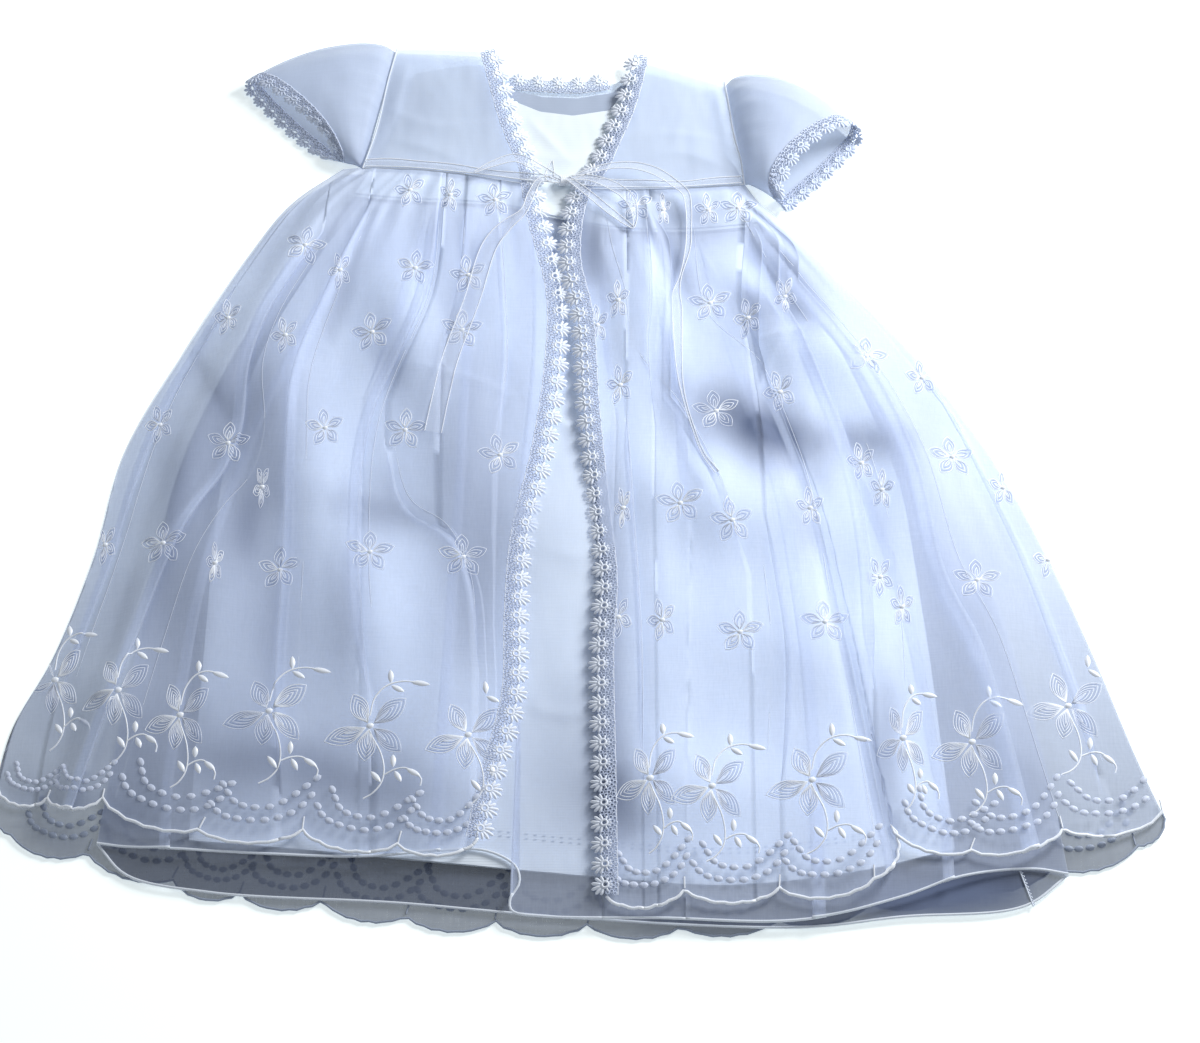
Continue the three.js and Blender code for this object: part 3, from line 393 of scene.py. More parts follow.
@dataclass(frozen=True)
class Organza:
    """Silk organza, plain woven of twisted yarn: crisp and see-through, so each layer adds a veil.

    Its yarns are 0.2 mm apart, finer than the picture shows, so the streaks are drawn at 0.7 by 12 mm,
    and the watered look of two layers over each other at 3.2 mm. Under the waist seam it is gathered
    tighter, so more yarn lies in each millimetre. Its shade is a painted shade that it turns to towards
    the hem, and painted shade also darkens it and makes it more opaque where its mesh is marked shaded.
    """

    name: str
    colour: str
    opacity: float
    gathered: float = 0.0
    shade: str = ""
    roughness: float = 0.6
    streak_mm: float = 0.7
    long_mm: float = 12.0
    variation: float = 0.05
    watered: float = 0.0
    watered_mm: float = 3.2

    def material(self) -> bpy.types.Material:
        """Builds the material.

        Returns:
            The material.
        """
        material, tree = new_material(self.name)
        warp = streaks(tree, self.streak_mm, self.long_mm)
        weft = streaks(tree, self.long_mm, self.streak_mm)
        yarns = add_node(tree, "ShaderNodeMath", {"operation": "ADD"}, {0: warp, 1: weft}).outputs["Value"]
        place = add_node(tree, "ShaderNodeTexCoord").outputs["Object"]
        up = add_node(tree, "ShaderNodeSeparateXYZ", links={"Vector": place}).outputs["Y"]
        opacity = self.veil(tree, yarns, place, up)
        # Painted shade: towards the hem the cloth turns to its shade tone.
        hem = {"From Min": -0.25, "From Max": -0.02, "To Min": 0.0, "To Max": 1.0}
        above = add_node(tree, "ShaderNodeMapRange", hem, {"Value": up}).outputs["Result"]
        tones = {"data_type": "RGBA", 6: linear(self.shade or self.colour), 7: linear(self.colour)}
        tone = add_node(tree, "ShaderNodeMix", tones, {0: above}).outputs[2]
        # Painted shade: where the mesh is marked as shaded, the cloth is darker and more opaque.
        shaded, tone = painted_shade(tree, tone)
        painted_shade_opacity = {"operation": "MULTIPLY_ADD", 1: 0.4, "use_clamp": True}
        opacity = add_node(tree, "ShaderNodeMath", painted_shade_opacity, {0: shaded, 2: opacity}).outputs["Value"]
        relief = {"Strength": 0.08, "Distance": YARN_HEIGHT}
        normal = add_node(tree, "ShaderNodeBump", relief, {"Height": yarns}).outputs["Normal"]
        settings = {
            "Roughness": self.roughness, "Sheen Weight": 0.25, "Sheen Roughness": 0.4, "Specular IOR Level": 0.3,
        }
        close_material(tree, settings, {"Alpha": opacity, "Normal": normal, "Base Color": tone})
        return material

    def veil(
        self, tree: bpy.types.NodeTree, yarns: bpy.types.NodeSocket, place: bpy.types.NodeSocket,
        up: bpy.types.NodeSocket,
    ) -> bpy.types.NodeSocket:
        """How much the cloth hides.

        Args:
            tree: the material's node tree.
            yarns: the pattern of its yarns.
            place: the place on the gown.
            up: the part of that from hem to neck.

        Returns:
            The socket with its opacity.
        """
        low, high = self.opacity - self.variation, min(1.0, self.opacity + self.variation)
        evenness = {"From Min": 0.6, "From Max": 1.4, "To Min": low, "To Max": high}
        opacity = add_node(tree, "ShaderNodeMapRange", evenness, {"Value": yarns}).outputs["Result"]
        if self.gathered:
            seam = {"From Min": 0.1, "From Max": 0.16, "To Min": 0.0, "To Max": self.gathered}
            tight = add_node(tree, "ShaderNodeMapRange", seam, {"Value": up}).outputs["Result"]
            total = {"operation": "ADD", "use_clamp": True}
            opacity = add_node(tree, "ShaderNodeMath", total, {0: opacity, 1: tight}).outputs["Value"]
        if self.watered:
            bands = {
                "bands_direction": "X", "Scale": WAVES / (self.watered_mm * MM), "Distortion": 26.0, "Detail": 1.0,
                "Detail Scale": 0.35,
            }
            rings = add_node(tree, "ShaderNodeTexWave", bands, {"Vector": place}).outputs["Fac"]
            ripple = {"operation": "MULTIPLY_ADD", 1: self.watered, "use_clamp": True}
            opacity = add_node(tree, "ShaderNodeMath", ripple, {0: rings, 2: opacity}).outputs["Value"]
        return opacity


@dataclass(frozen=True)
class WovenCloth:
    """Opaque woven cloth: its yarns show as fine ribs, its sheen comes from the weave."""

    name: str
    colour: str
    shade: str
    roughness: float
    sheen: float
    rib_mm: float
    rib_strength: float
    coat: float = 0.0

    def material(self) -> bpy.types.Material:
        """Builds the material.

        Returns:
            The material.
        """
        material, tree = new_material(self.name)
        place = add_node(tree, "ShaderNodeTexCoord").outputs["Object"]
        ribbed = {"bands_direction": "Y", "Scale": WAVES / (self.rib_mm * MM), "Distortion": 0.8}
        ribs = add_node(tree, "ShaderNodeTexWave", ribbed, {"Vector": place}).outputs["Fac"]
        tones = {"data_type": "RGBA", 6: linear(self.shade), 7: linear(self.colour)}
        tone = add_node(tree, "ShaderNodeMix", tones, {0: streaks(tree, 18, 26)}).outputs[2]
        # Painted shade where the mesh marks the cloth as shaded.
        _, tone = painted_shade(tree, tone)
        relief = {"Strength": self.rib_strength, "Distance": YARN_HEIGHT}
        normal = add_node(tree, "ShaderNodeBump", relief, {"Height": ribs}).outputs["Normal"]
        settings = {
            "Roughness": self.roughness, "Sheen Weight": self.sheen, "Sheen Roughness": 0.35,
            "Coat Weight": self.coat, "Coat Roughness": 0.35, "Specular IOR Level": 0.4,
        }
        close_material(tree, settings, {"Base Color": tone, "Normal": normal})
        return material


@dataclass(frozen=True)
class Thread:
    """Twisted thread laid in stitches: a fine twill of light and dark along each stitch."""

    name: str
    colour: str
    shade: str
    roughness: float
    twist_mm: float

    def material(self) -> bpy.types.Material:
        """Builds the material.

        Returns:
            The material.
        """
        material, tree = new_material(self.name)
        grain = streaks(tree, self.twist_mm, 3 * self.twist_mm, math.radians(35))
        tones = {"data_type": "RGBA", 6: linear(self.shade), 7: linear(self.colour)}
        tone = add_node(tree, "ShaderNodeMix", tones, {0: grain}).outputs[2]
        relief = {"Strength": 0.35, "Distance": YARN_HEIGHT}
        normal = add_node(tree, "ShaderNodeBump", relief, {"Height": grain}).outputs["Normal"]
        settings = {"Roughness": self.roughness, "Sheen Weight": 0.3, "Specular IOR Level": 0.5}
        close_material(tree, settings, {"Base Color": tone, "Normal": normal})
        return material


@dataclass(frozen=True)
class Paper:
    """Matt seamless paper on a light table: even, pale and without a mark."""

    name: str
    colour: str
    glow: float

    def material(self) -> bpy.types.Material:
        """Builds the material.

        Returns:
            The material.
        """
        material, tree = new_material(self.name)
        settings = {
            "Base Color": linear(self.colour), "Roughness": 0.9, "Specular IOR Level": 0.1,
            "Emission Color": linear("f6ffff"), "Emission Strength": self.glow,
        }
        close_material(tree, settings, {})
        return material


class Finish(Enum):
    """The finishes of the gown."""

    ROBE = Organza("silk organza, front", "cedbf4", 0.36, 0.36, variation=0.035, streak_mm=0.8, watered=0.012)
    BODICE = Organza("silk organza, bodice", "cfdcf5", 0.56, variation=0.02)
    DRESS = Organza("silk organza, dress", "cad6ee", 0.36, 0.1, variation=0.03)
    BACK = Organza("silk organza, back in shade", "c3cde2", 0.7, 0.0, "5d667a")
    HEM = Organza("silk organza, rolled hem", "e9f1fc", 0.9)
    SATIN = WovenCloth("duchess satin, woven", "f3fbff", "e6f2fc", 0.36, 0.4, 1.2, 0.08, 0.15)
    # The inside of the back is a copy of the satin, darker as painted shade.
    SATIN_BACK = WovenCloth("duchess satin, woven, inside of the back, in painted shade", "b4c0d4", "a3b0c6", 0.5, 0.3, 1.2, 0.08)
    LINING = WovenCloth("taffeta lining, woven", "eef7ff", "e2edfb", 0.6, 0.3, 1.6, 0.22)
    EMBROIDERY = Thread("rayon thread, satin stitched", "fafdff", "e4edfd", 0.3, 0.6)
    EMBROIDERY_SHADED = Thread("rayon thread, satin stitched, shaded side", "8f9fc2", "7f8fb3", 0.5, 0.6)
    # The dots' darker tone, mixed in along the thread's grain, is painted shade.
    SATIN_DOTS = Thread("rayon thread, satin stitched dots", "e6edfb", "a3b1cf", 0.5, 0.9)
    # The back's dots and cord are darker as painted shade.
    EMBROIDERY_BACK = Thread("rayon thread, satin stitched, on the back, in painted shade", "9aa5b9", "838fa5", 0.5, 0.6)
    CORD = Thread("rayon cord, corded edge", "fafdff", "e0eafb", 0.32, 0.9)
    LACE = Thread("guipure lace, cotton thread", "f8fbff", "dbe6fa", 0.65, 0.7)
    # The net's darker thread is painted shade.
    LACE_NET = Thread("guipure lace, cotton net", "e0e9fa", "a9b8d8", 0.65, 0.7)
    CUFF_LACE = Thread("guipure lace, cotton thread, in shade", "e6eefc", "b3c1de", 0.65, 0.7)
    SEWING = Thread("sewing thread, stitched", "dfe8f6", "c6d2e6", 0.5, 0.5)
    RIBBON = Organza("organza ribbon, woven", "e6eefc", 0.2, roughness=0.5)
    RIBBON_EDGE = Thread("satin selvedge, woven", "fbfdff", "e6eefa", 0.32, 0.6)

    def dress(self, piece: bpy.types.Object) -> None:
        """Gives a piece this finish."""
        name = self.value.name
        piece.data.materials.append(bpy.data.materials.get(name) or self.value.material())


# Meshes


def new_piece(name: str, points: Array, faces: Array | list, shaded: Array | None = None) -> bpy.types.Object:
    """Makes a mesh object in the part's frame.

    Args:
        name: the piece's name.
        points: places in plan and their heights, in millimetres.
        faces: vertex numbers of each face.
        shaded: how much painted shade each point gets, from 0 to 1.

    Returns:
        The object.
    """
    mesh = bpy.data.meshes.new(name)
    moved = (np.asarray(points, float).reshape(-1, 3) + (*PLAN_SHIFT, 0)) * MM
    mesh.from_pydata(moved.tolist(), [], [list(map(int, face)) for face in faces])
    mesh.polygons.foreach_set("use_smooth", np.ones(len(mesh.polygons), bool))
    if shaded is not None:
        kept = mesh.attributes.new("shaded", "FLOAT", "POINT")
        kept.data.foreach_set("value", np.clip(shaded, 0, 1).ravel().astype(np.float32))
    mesh.update()
    piece = bpy.data.objects.new(name, mesh)
    bpy.context.scene.collection.objects.link(piece)
    log.info("%s: %d points, %d faces", name, len(mesh.vertices), len(mesh.polygons))
    return piece


def grid_faces(high: int, wide: int, closed: bool = False) -> Array:
    """Quads over a grid of points.

    Args:
        high: rows of points.
        wide: points in a row.
        closed: whether the last column joins the first.

    Returns:
        Vertex numbers, four for each face.
    """
    across = np.arange(wide if closed else wide - 1)
    start = (np.arange(high - 1) * wide)[:, None] + across
    after = (np.arange(high - 1) * wide)[:, None] + (across + 1) % wide
    return np.stack([start, start + wide, after + wide, after], axis=-1).reshape(-1, 4)


class Surface:
    """A mesh whose height can be felt from above."""

    def __init__(self, points: Array, faces: Sequence) -> None:
        """Takes points in the gown's plan and faces."""
        self.tree = BVHTree.FromPolygons(points.tolist(), [list(map(int, face)) for face in faces])

    @classmethod
    def of_nodes(cls, *nodes: str, over: Sequence["Cloth"] = ()) -> "Surface":
        """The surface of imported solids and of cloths.

        Args:
            nodes: names of the solids.
            over: the cloths.

        Returns:
            One surface for all of them.
        """
        points, faces = [], []
        for cloth in over:
            start = len(points)
            points += [Vector(map(float, point)) for point in cloth.points.reshape(-1, 3)]
            faces += (grid_faces(*cloth.points.shape[:2]) + start).tolist()
        for name in nodes:
            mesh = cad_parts[name].data
            start = len(points)
            points += [v.co / MM - Vector((*PLAN_SHIFT, 0)) for v in mesh.vertices]
            faces += [[start + k for k in polygon.vertices] for polygon in mesh.polygons]
        return cls(np.array([tuple(p) for p in points]), faces)

    def under(self, places: Array) -> Array:
        """Whether there is cloth at each place in plan."""
        down = Vector((0, 0, -1))
        return np.array([self.tree.ray_cast(Vector((x, y, 200)), down)[0] is not None for x, y in places])

    def heights(self, places: Array) -> Array:
        """Heights of the top; past the outline, of the nearest point.

        Args:
            places: places in plan, in an array whose last axis is x, y.

        Returns:
            The height at each place.
        """
        flat = places.reshape(-1, 2)
        found = np.empty(len(flat))
        down = Vector((0, 0, -1))
        for k, (x, y) in enumerate(flat):
            hit = self.tree.ray_cast(Vector((x, y, 200)), down)[0]
            if hit is None:
                hit = self.tree.find_nearest(Vector((x, y, 10)))[0]
            found[k] = hit.z
        return found.reshape(places.shape[:-1])

    def seen(self, start: Vector, way: Vector) -> Vector | None:
        """Where a line of sight meets the surface."""
        return self.tree.ray_cast(start, way)[0]


def softened(values: Array, passes: int) -> Array:
    """Smooths a grid of values along its rows and columns.

    Args:
        values: the grid.
        passes: how often each value is evened out with its neighbours.

    Returns:
        The smoothed grid.
    """
    for _ in range(passes):
        for axis in (0, 1):
            padded = np.concatenate([np.take(values, [0], axis), values, np.take(values, [-1], axis)], axis)
            n = values.shape[axis]
            before = np.take(padded, range(0, n), axis)
            after = np.take(padded, range(2, n + 2), axis)
            values = (before + 2 * values + after) / 4
    return values


@dataclass
class Needlework:
    """Threads, stitches and cords gathered into one mesh."""

    points: list = field(default_factory=list)
    faces: list = field(default_factory=list)
    count: int = 0

    def add(self, points: Array, faces: Array) -> None:
        """Adds points and the faces between them."""
        self.points.append(np.asarray(points, float).reshape(-1, 3))
        self.faces.extend((np.asarray(faces) + self.count).tolist())
        self.count += len(self.points[-1])

    def thread(
        self, line: Array, radius: float | Array, sides: int = 3, closed: bool = False, flat: float = 1.0
    ) -> None:
        """Adds a thread along a line.

        Args:
            line: points of its middle.
            radius: half its thickness, one number or one for each point.
            sides: of its section.
            closed: whether it comes back to its start.
            flat: its height against its width.
        """
        line = np.asarray(line, float)
        ahead = np.roll(line, -1, 0) - np.roll(line, 1, 0)
        if not closed:
            ahead[0], ahead[-1] = line[1] - line[0], line[-1] - line[-2]
        ahead = unit(ahead)
        side = np.cross(ahead, (0.0, 0.0, 1.0))
        weak = np.linalg.norm(side, axis=1) < 1e-3
        side[weak] = (1.0, 0.0, 0.0)
        side = unit(side)
        up = np.cross(side, ahead)
        turns = 2 * math.pi * (np.arange(sides) + 0.5) / sides
        ring = side[:, None] * np.cos(turns)[None, :, None] + up[:, None] * np.sin(turns)[None, :, None] * flat
        shell = line[:, None] + np.reshape(radius, (-1, 1, 1)) * ring
        faces = grid_faces(len(line), sides, closed=True)
        if closed:
            last = (len(line) - 1) * sides
            k = np.arange(sides)
            faces = np.vstack([faces, np.stack([last + k, k, (k + 1) % sides, last + (k + 1) % sides], -1)])
        self.add(shell, faces)

    def leaf(
        self, middle: Array, way: Array, length: float, width: float, height: float, pointed: float = 1.0
    ) -> None:
        """Adds a padded satin stitch leaf or dot.

        Args:
            middle: its centre, on the cloth.
            way: its long axis.
            length: from tip to tip.
            width: across.
            height: of its padding.
            pointed: 1 for a leaf, below 1 for a rounder dot.
        """
        way = np.asarray(way, float) / max(np.linalg.norm(way), 1e-9)
        side = np.cross((0.0, 0.0, 1.0), way)
        side /= max(np.linalg.norm(side), 1e-9)
        shell = []
        for t in np.linspace(-1, 1, 7):
            half = (1 - t * t) ** pointed if abs(t) < 1 else 0.0
            for s in (-1.0, -0.5, 0.0, 0.5, 1.0):
                lift = height * half * (1 - s * s) ** 0.5 if abs(s) < 1 else 0.0
                shell.append(middle + way * t * length / 2 + side * s * half * width / 2 + (0, 0, lift))
        self.add(np.array(shell), grid_faces(7, 5))

    def piece(self, name: str, finish: Finish) -> bpy.types.Object:
        """Makes the mesh object."""
        made = new_piece(name, np.vstack(self.points), self.faces)
        finish.dress(made)
        return made


# Folds


@dataclass(frozen=True)
class Pleat:
    """Cloth laid over itself along a line in plan.

    line runs from the waist down, wide is its lap, lap +1 where its lip faces right, lift the height of
    the lip, to_hem is true where the lap stays open at its foot, and dark is the painted shadow beside the lip.
    """

    line: Rows
    wide: float
    lap: int = 1
    lift: float = 1.2
    to_hem: bool = False
    dark: float = 0.2

    def course(self, left: Array, right: Array) -> tuple[Array, Array]:
        """Follows the pleat over a panel.

        Args:
            left: the panel's left edge, a point for each row.
            right: its right edge.

        Returns:
            Place across the panel at each row, and how far the lap is open there.
        """
        points = smooth_points(self.line, 8)
        points = points[np.argsort(points[:, 1])]
        span = right - left
        across = np.full(len(left), 0.5)
        for _ in range(5):
            level = left[:, 1] + span[:, 1] * across
            across = (np.interp(level, points[:, 1], points[:, 0]) - left[:, 0]) / span[:, 0]
            across = np.clip(across, 0.03, 0.97)
        opening = smoothstep(points[-1, 1] - level, -6, 26)
        if not self.to_hem:
            opening = opening * smoothstep(level - points[0, 1], 0, 48)
        return across, opening


@dataclass(frozen=True)
class Crease:
    """A soft ridge or, below 0, a trough along a line, sharper on its left where sharp is above 0."""

    line: Rows
    height: float
    half: float
    sharp: float = 0.0

    def lift(self, places: Array) -> Array:
        """Height that the crease adds at places in plan."""
        gap, along = distance_to_line(places, smooth_points(self.line, 12))
        half = np.where(gap > 0, self.half * (1 - self.sharp), self.half * (1 + self.sharp))
        fade = np.sin(math.pi * np.clip(along, 0.0, 1.0)) ** 0.6
        return self.height * fade * np.exp(-((np.abs(gap) / half) ** 1.5))


@dataclass(frozen=True)
class Swell:
    """A broad rise of all the front layers, where air is caught under them."""

    x: float
    y: float
    half_x: float
    half_y: float
    turn: float
    height: float

    def lift(self, places: Array) -> Array:
        """Height that the swell adds at places in plan."""
        c, s = math.cos(math.radians(self.turn)), math.sin(math.radians(self.turn))
        dx, dy = places[..., 0] - self.x, places[..., 1] - self.y
        u, v = (dx * c + dy * s) / self.half_x, (dy * c - dx * s) / self.half_y
        return self.height * np.exp(-(u * u + v * v))


@dataclass(frozen=True)
class Shade:
    """A soft stretch of painted shade along a line in plan, where the cloth is shown darker."""

    line: Rows
    half: float
    depth: float

    def dark(self, places: Array) -> Array:
        """Its darkness at places in plan, from 0 to 1."""
        gap, along = distance_to_line(places, smooth_points(self.line, 3))
        ends = np.sin(math.pi * np.clip(along, 0.03, 0.97)) ** 0.6
        return self.depth * ends * np.exp(-((gap / self.half) ** 2))


def shades(*rows: tuple) -> tuple[Shade, ...]:
    """Soft dark stretches from rows of half width, darkness and the places of the line."""
    return tuple(Shade(line, half, depth) for half, depth, *line in rows)


# Painted shade: hollows and folds of the skirt, its darker left side and hem, the back hem and the armholes.
SKIRT_SHADES = shades(
    (20, 0.72, (60, 37), (82, 30), (101, 20), (118, 5), (130, -9)),
    (13, 0.4, (92, 26), (108, 14), (121, 0)),
    (13, 0.4, (130, 14), (160, 10), (198, 8)),
    (17, 0.42, (20, 168), (58, 163), (94, 168)),
    (26, 0.38, (-66, 90), (-58, -40), (-66, -150)),
    (26, 0.2, (-12, -130), (-8, -190), (-8, -250)),
    (42, 0.22, (-226, 80), (-262, -20), (-286, -140)),
    (42, 0.25, (-290, -150), (-170, -200), (-50, -206)),
    (38, 0.3, (-196, 130), (-206, 50), (-204, -30), (-180, -110), (-150, -180)),
    (13, 0.5, (84, 112), (106, 100), (128, 96), (152, 88)),
    (10, 0.42, (104, 146), (126, 122), (146, 102)),
    (18, 0.16, (-168, 70), (-164, 30), (-160, -14)),
    (16, 0.12, (-118, 0), (-112, -30), (-112, -60)),
    (9, 0.36, (48, 152), (58, 128), (66, 100)),
    (12, 0.5, (-4, 168), (3, 148), (7, 112)),
    (9, 0.25, (-113, 85), (-112, 64), (-104, 40)),
    (6, 0.3, (-134, 150), (-143, 110), (-152, 72)),
    (9, 0.25, (-230, 74), (-216, 46), (-206, 20)),
    (12, 0.35, (-235, 22), (-236, -24), (-240, -60)),
    (9, 0.32, (-183, -10), (-190, -47), (-190, -72)),
    (10, 0.22, (-150, -28), (-118, -36), (-80, -44)),
    (9, 0.22, (-132, -56), (-131, -93), (-128, -134)),
    (13, 0.35, (-246, -62), (-254, -93), (-262, -136)),
    (14, 0.25, (-222, -196), (-165, -192), (-121, -206), (-70, -214)),
    (22, 0.3, (-300, -130), (-280, -170), (-240, -192)),
    (19, 0.6, (-324, -196), (-298, -214), (-262, -224), (-220, -226)),
    (8, 0.15, (-84, 130), (-78, 90), (-84, 50)),
    (8, 0.38, (17, 10), (17, -55), (16, -124), (18, -179), (22, -236)),
    (16, 0.5, (14, -190), (20, -220), (30, -240)),
    (8, 0.28, (119, -22), (125, -42), (134, -62)),
    (9, 0.28, (172, -140), (166, -191), (169, -240)),
    (14, 0.22, (222, -186), (247, -203), (268, -216)),
    (18, 0.2, (205, 90), (232, 40), (250, 0)),
    (12, 0.12, (236, -20), (252, -80), (262, -120)),
)
HEM_SHADES = shades(
    (15, 0.9, (140, -272), (200, -266), (250, -264)),
    (9, 0.3, (20, -284), (80, -290), (140, -286)),
    (10, 0.25, (-310, -215), (-290, -232), (-262, -240)),
)
BODICE_SHADES = shades(
    (6, 0.4, (-113, 284), (-121, 240), (-131, 200)),
    (10, 0.35, (-198, 252), (-172, 224), (-150, 210), (-126, 198)),
    (12, 0.15, (-108, 276), (-100, 250), (-104, 222)),
    (10, 0.12, (-70, 284), (-60, 256), (-50, 222)),
    (3, 0.16, (93, 250), (99, 220), (102, 192)),
    (8, 0.1, (52, 206), (76, 202), (92, 214)),
)


# Air caught under the front: on the right a hollow lies between the first two.
SWELLS = [
    Swell(128, 78, 36, 25, -28, 8.5),
    Swell(76, -28, 50, 27, -16, 6.5),
    Swell(192, -18, 24, 58, -20, 5.5),
    Swell(36, 100, 16, 42, 0, 4.0),
    Swell(236, -105, 24, 60, -18, 5.0),
    Swell(132, -118, 54, 34, -8, 3.5),
    Swell(60, -205, 44, 26, 0, 4.0),
    Swell(-104, 92, 22, 48, 18, 5.0),
    Swell(-166, 12, 22, 62, 12, 6.5),
    Swell(-74, 12, 24, 56, 5, 4.5),
    Swell(-222, -62, 24, 60, 14, 5.5),
    Swell(-122, -108, 32, 50, 6, 5.5),
    Swell(-78, -196, 34, 34, 0, 4.0),
    Swell(-256, -150, 24, 44, 18, 4.0),
    Swell(-186, -178, 30, 36, 10, 3.5),
    Swell(-12, -44, 36, 36, 0, 3.5),
]


# Height of one ply at a fold, and how far from a fold its rise and its painted shadow reach, in millimetres.
PLY = 0.5
FOLD_REACH = 9.0


@dataclass
class Panel:
    """One cut of cloth, laid out between four edges on the solid that it stands for.

    Flat sizes and areas are in metres, all others in millimetres. The columns of its grid follow the
    pleats, where the cloth turns back under its lip and on again: three plies.
    """

    name: str
    node: str
    slot: str
    finish: Finish
    top: Edge
    foot: Edge
    left: Edge
    right: Edge
    flat: tuple[float, float]
    area: float | None = None
    pleats: tuple[Pleat, ...] = ()
    creases: tuple[Crease, ...] = ()
    swells: Sequence[Swell] = ()
    shades: Sequence[Shade] = ()
    gathers: int = 0
    gather_lift: float = 1.2
    gather_reach: float = 70.0
    wrinkle: float = 0.25
    grid_mm: float = 2.0
    seed: int = 1

    def columns(self, left: Array, right: Array) -> tuple[Array, Array, Array]:
        """Lays out the columns, which follow the pleats.

        Args:
            left: the panel's left edge, a point for each row.
            right: its right edge.

        Returns:
            Place across the panel, height of the laps, and height of the lips, for each row and column.
        """
        widths = np.linalg.norm(right - left, axis=1)
        zero = np.zeros_like(widths)
        courses = [(pleat, *pleat.course(left, right)) for pleat in self.pleats]
        courses.sort(key=lambda course: course[1].mean())
        knots, levels, shares, lifts, before = [zero], [(0.0, 0.0)], [], [], zero
        for pleat, place, opening in courses:
            lap = pleat.wide * opening / widths
            place = np.maximum(place, before + 0.02 + (lap if pleat.lap > 0 else 0))
            before = place + (0 if pleat.lap > 0 else lap)
            knots += [place, place - lap] if pleat.lap > 0 else [place + lap, place]
            levels += [(2.0, 1.3), (0.7, 0.0)] if pleat.lap > 0 else [(0.0, 0.7), (1.3, 2.0)]
            shares.append(opening)
            lifts.append(pleat.lift)
        knots.append(zero + 1)
        levels.append((0.0, 0.0))
        across, level, lip = [], [], []
        for k in range(len(knots) - 1):
            a, b = knots[k], knots[k + 1]
            span = np.abs(b - a) * widths
            fold = k // 2
            if k % 2:
                for f in np.linspace(0, 1, 4):
                    across.append(a + (b - a) * f)
                    level.append(((1 - f) * levels[k][1] + f * levels[k + 1][0]) * shares[fold])
                    lip.append(zero)
                continue
            first = (shares[fold - 1], levels[k][1], lifts[fold - 1]) if k else (zero, 0.0, 0.0)
            last = (shares[fold], levels[k + 1][0], lifts[fold]) if fold < len(shares) else (zero, 0.0, 0.0)
            for f in np.linspace(0, 1, max(4, int(np.median(span) / self.grid_mm * 1.15)) + 1):
                across.append(a + (b - a) * f)
                near = np.exp(-f * span / FOLD_REACH), np.exp(-(1 - f) * span / FOLD_REACH)
                level.append(first[0] * first[1] * near[0] + last[0] * last[1] * near[1])
                raised = first[0] * first[2] * (first[1] > 1) * near[0] ** 0.6
                lip.append(raised + last[0] * last[2] * (last[1] > 1) * near[1] ** 0.6)
        return np.stack(across, 1), np.stack(level, 1), np.stack(lip, 1)

    def fold_edges(self, points: Array) -> list[tuple[Array, Array]]:
        """Bright lines on the pleats' lips, a little over the cloth: doubled cloth, and partly a painted highlight.

        Args:
            points: the cloth's points.

        Returns:
            A line for each pleat where its lap is open, and the thickness of its edge there.
        """
        left, right = points[:, 0, :2], points[:, -1, :2]
        found = []
        for pleat in self.pleats:
            place, opening = pleat.course(left, right)
            rows = np.flatnonzero(opening > 0.12)
            if len(rows) < 10:
                continue
            spots = (left + (right - left) * place[:, None])[rows]
            level = [
                points[j, np.abs(points[j, :, 0] - x).argsort()[:2], 2].max() for j, (x, _) in zip(rows, spots)
            ]
            found.append((np.column_stack([spots, evened(level)]), 0.16 * np.sqrt(opening[rows])))
        return found

    def layout(self) -> tuple[Array, Array]:
        """Works out the cloth.

        Returns:
            Its grid of points, and how shaded each is.
        """
        rows = max(6, int(max(self.left.length, self.right.length) / self.grid_mm))
        down = np.linspace(0, 1, rows + 1)
        left, right = self.left.at(down), self.right.at(down)
        widths = np.linalg.norm(right - left, axis=1)
        across, level, lip = self.columns(left, right)
        d, a = down[:, None, None], across[..., None]
        edges = self.top.at(across) * (1 - d) + self.foot.at(across) * d
        sides = left[:, None] * (1 - a) + right[:, None] * a
        ends = np.array([0.0, 1.0])
        upper, lower = (edge.at(ends)[0] * (1 - a) + edge.at(ends)[1] * a for edge in (self.top, self.foot))
        places = edges + sides - (upper * (1 - d) + lower * d)
        base = softened(Surface.of_nodes(self.node).heights(places) - WALL / 2, 4)
        height = base + PLY * level + lip
        for form in (*self.swells, *self.creases):
            height += form.lift(places)
        fallen = np.linalg.norm(places - places[:1], axis=-1)
        gathers = self.gathered(across, down, widths, fallen)
        height += gathers + self.wrinkled(places)
        # Painted shade along the shade lines, beside pleat lips and between gathers; less where a lap lies doubled.
        shaded = np.zeros_like(height)
        for shade in self.shades:
            shaded += shade.dark(places)
        for pleat in self.pleats:
            place, opening = pleat.course(left, right)
            gap = (across - place[:, None]) * widths[:, None] * pleat.lap
            doubled = smoothstep(gap, -pleat.wide - 1.5, -pleat.wide) * (gap < 0.3)
            under = np.where(gap > 0.3, np.exp(-np.abs(gap) / FOLD_REACH), 0.0)
            shaded = shaded * (1 - 0.7 * opening[:, None] * doubled)
            shaded += pleat.dark * opening[:, None] * under
        if self.gathers:
            shaded += 0.14 * np.exp(-((fallen / 42) ** 2)) * (1 - np.clip(gathers / self.gather_lift, 0, 1))
        return np.concatenate([places, height[..., None]], axis=-1), shaded

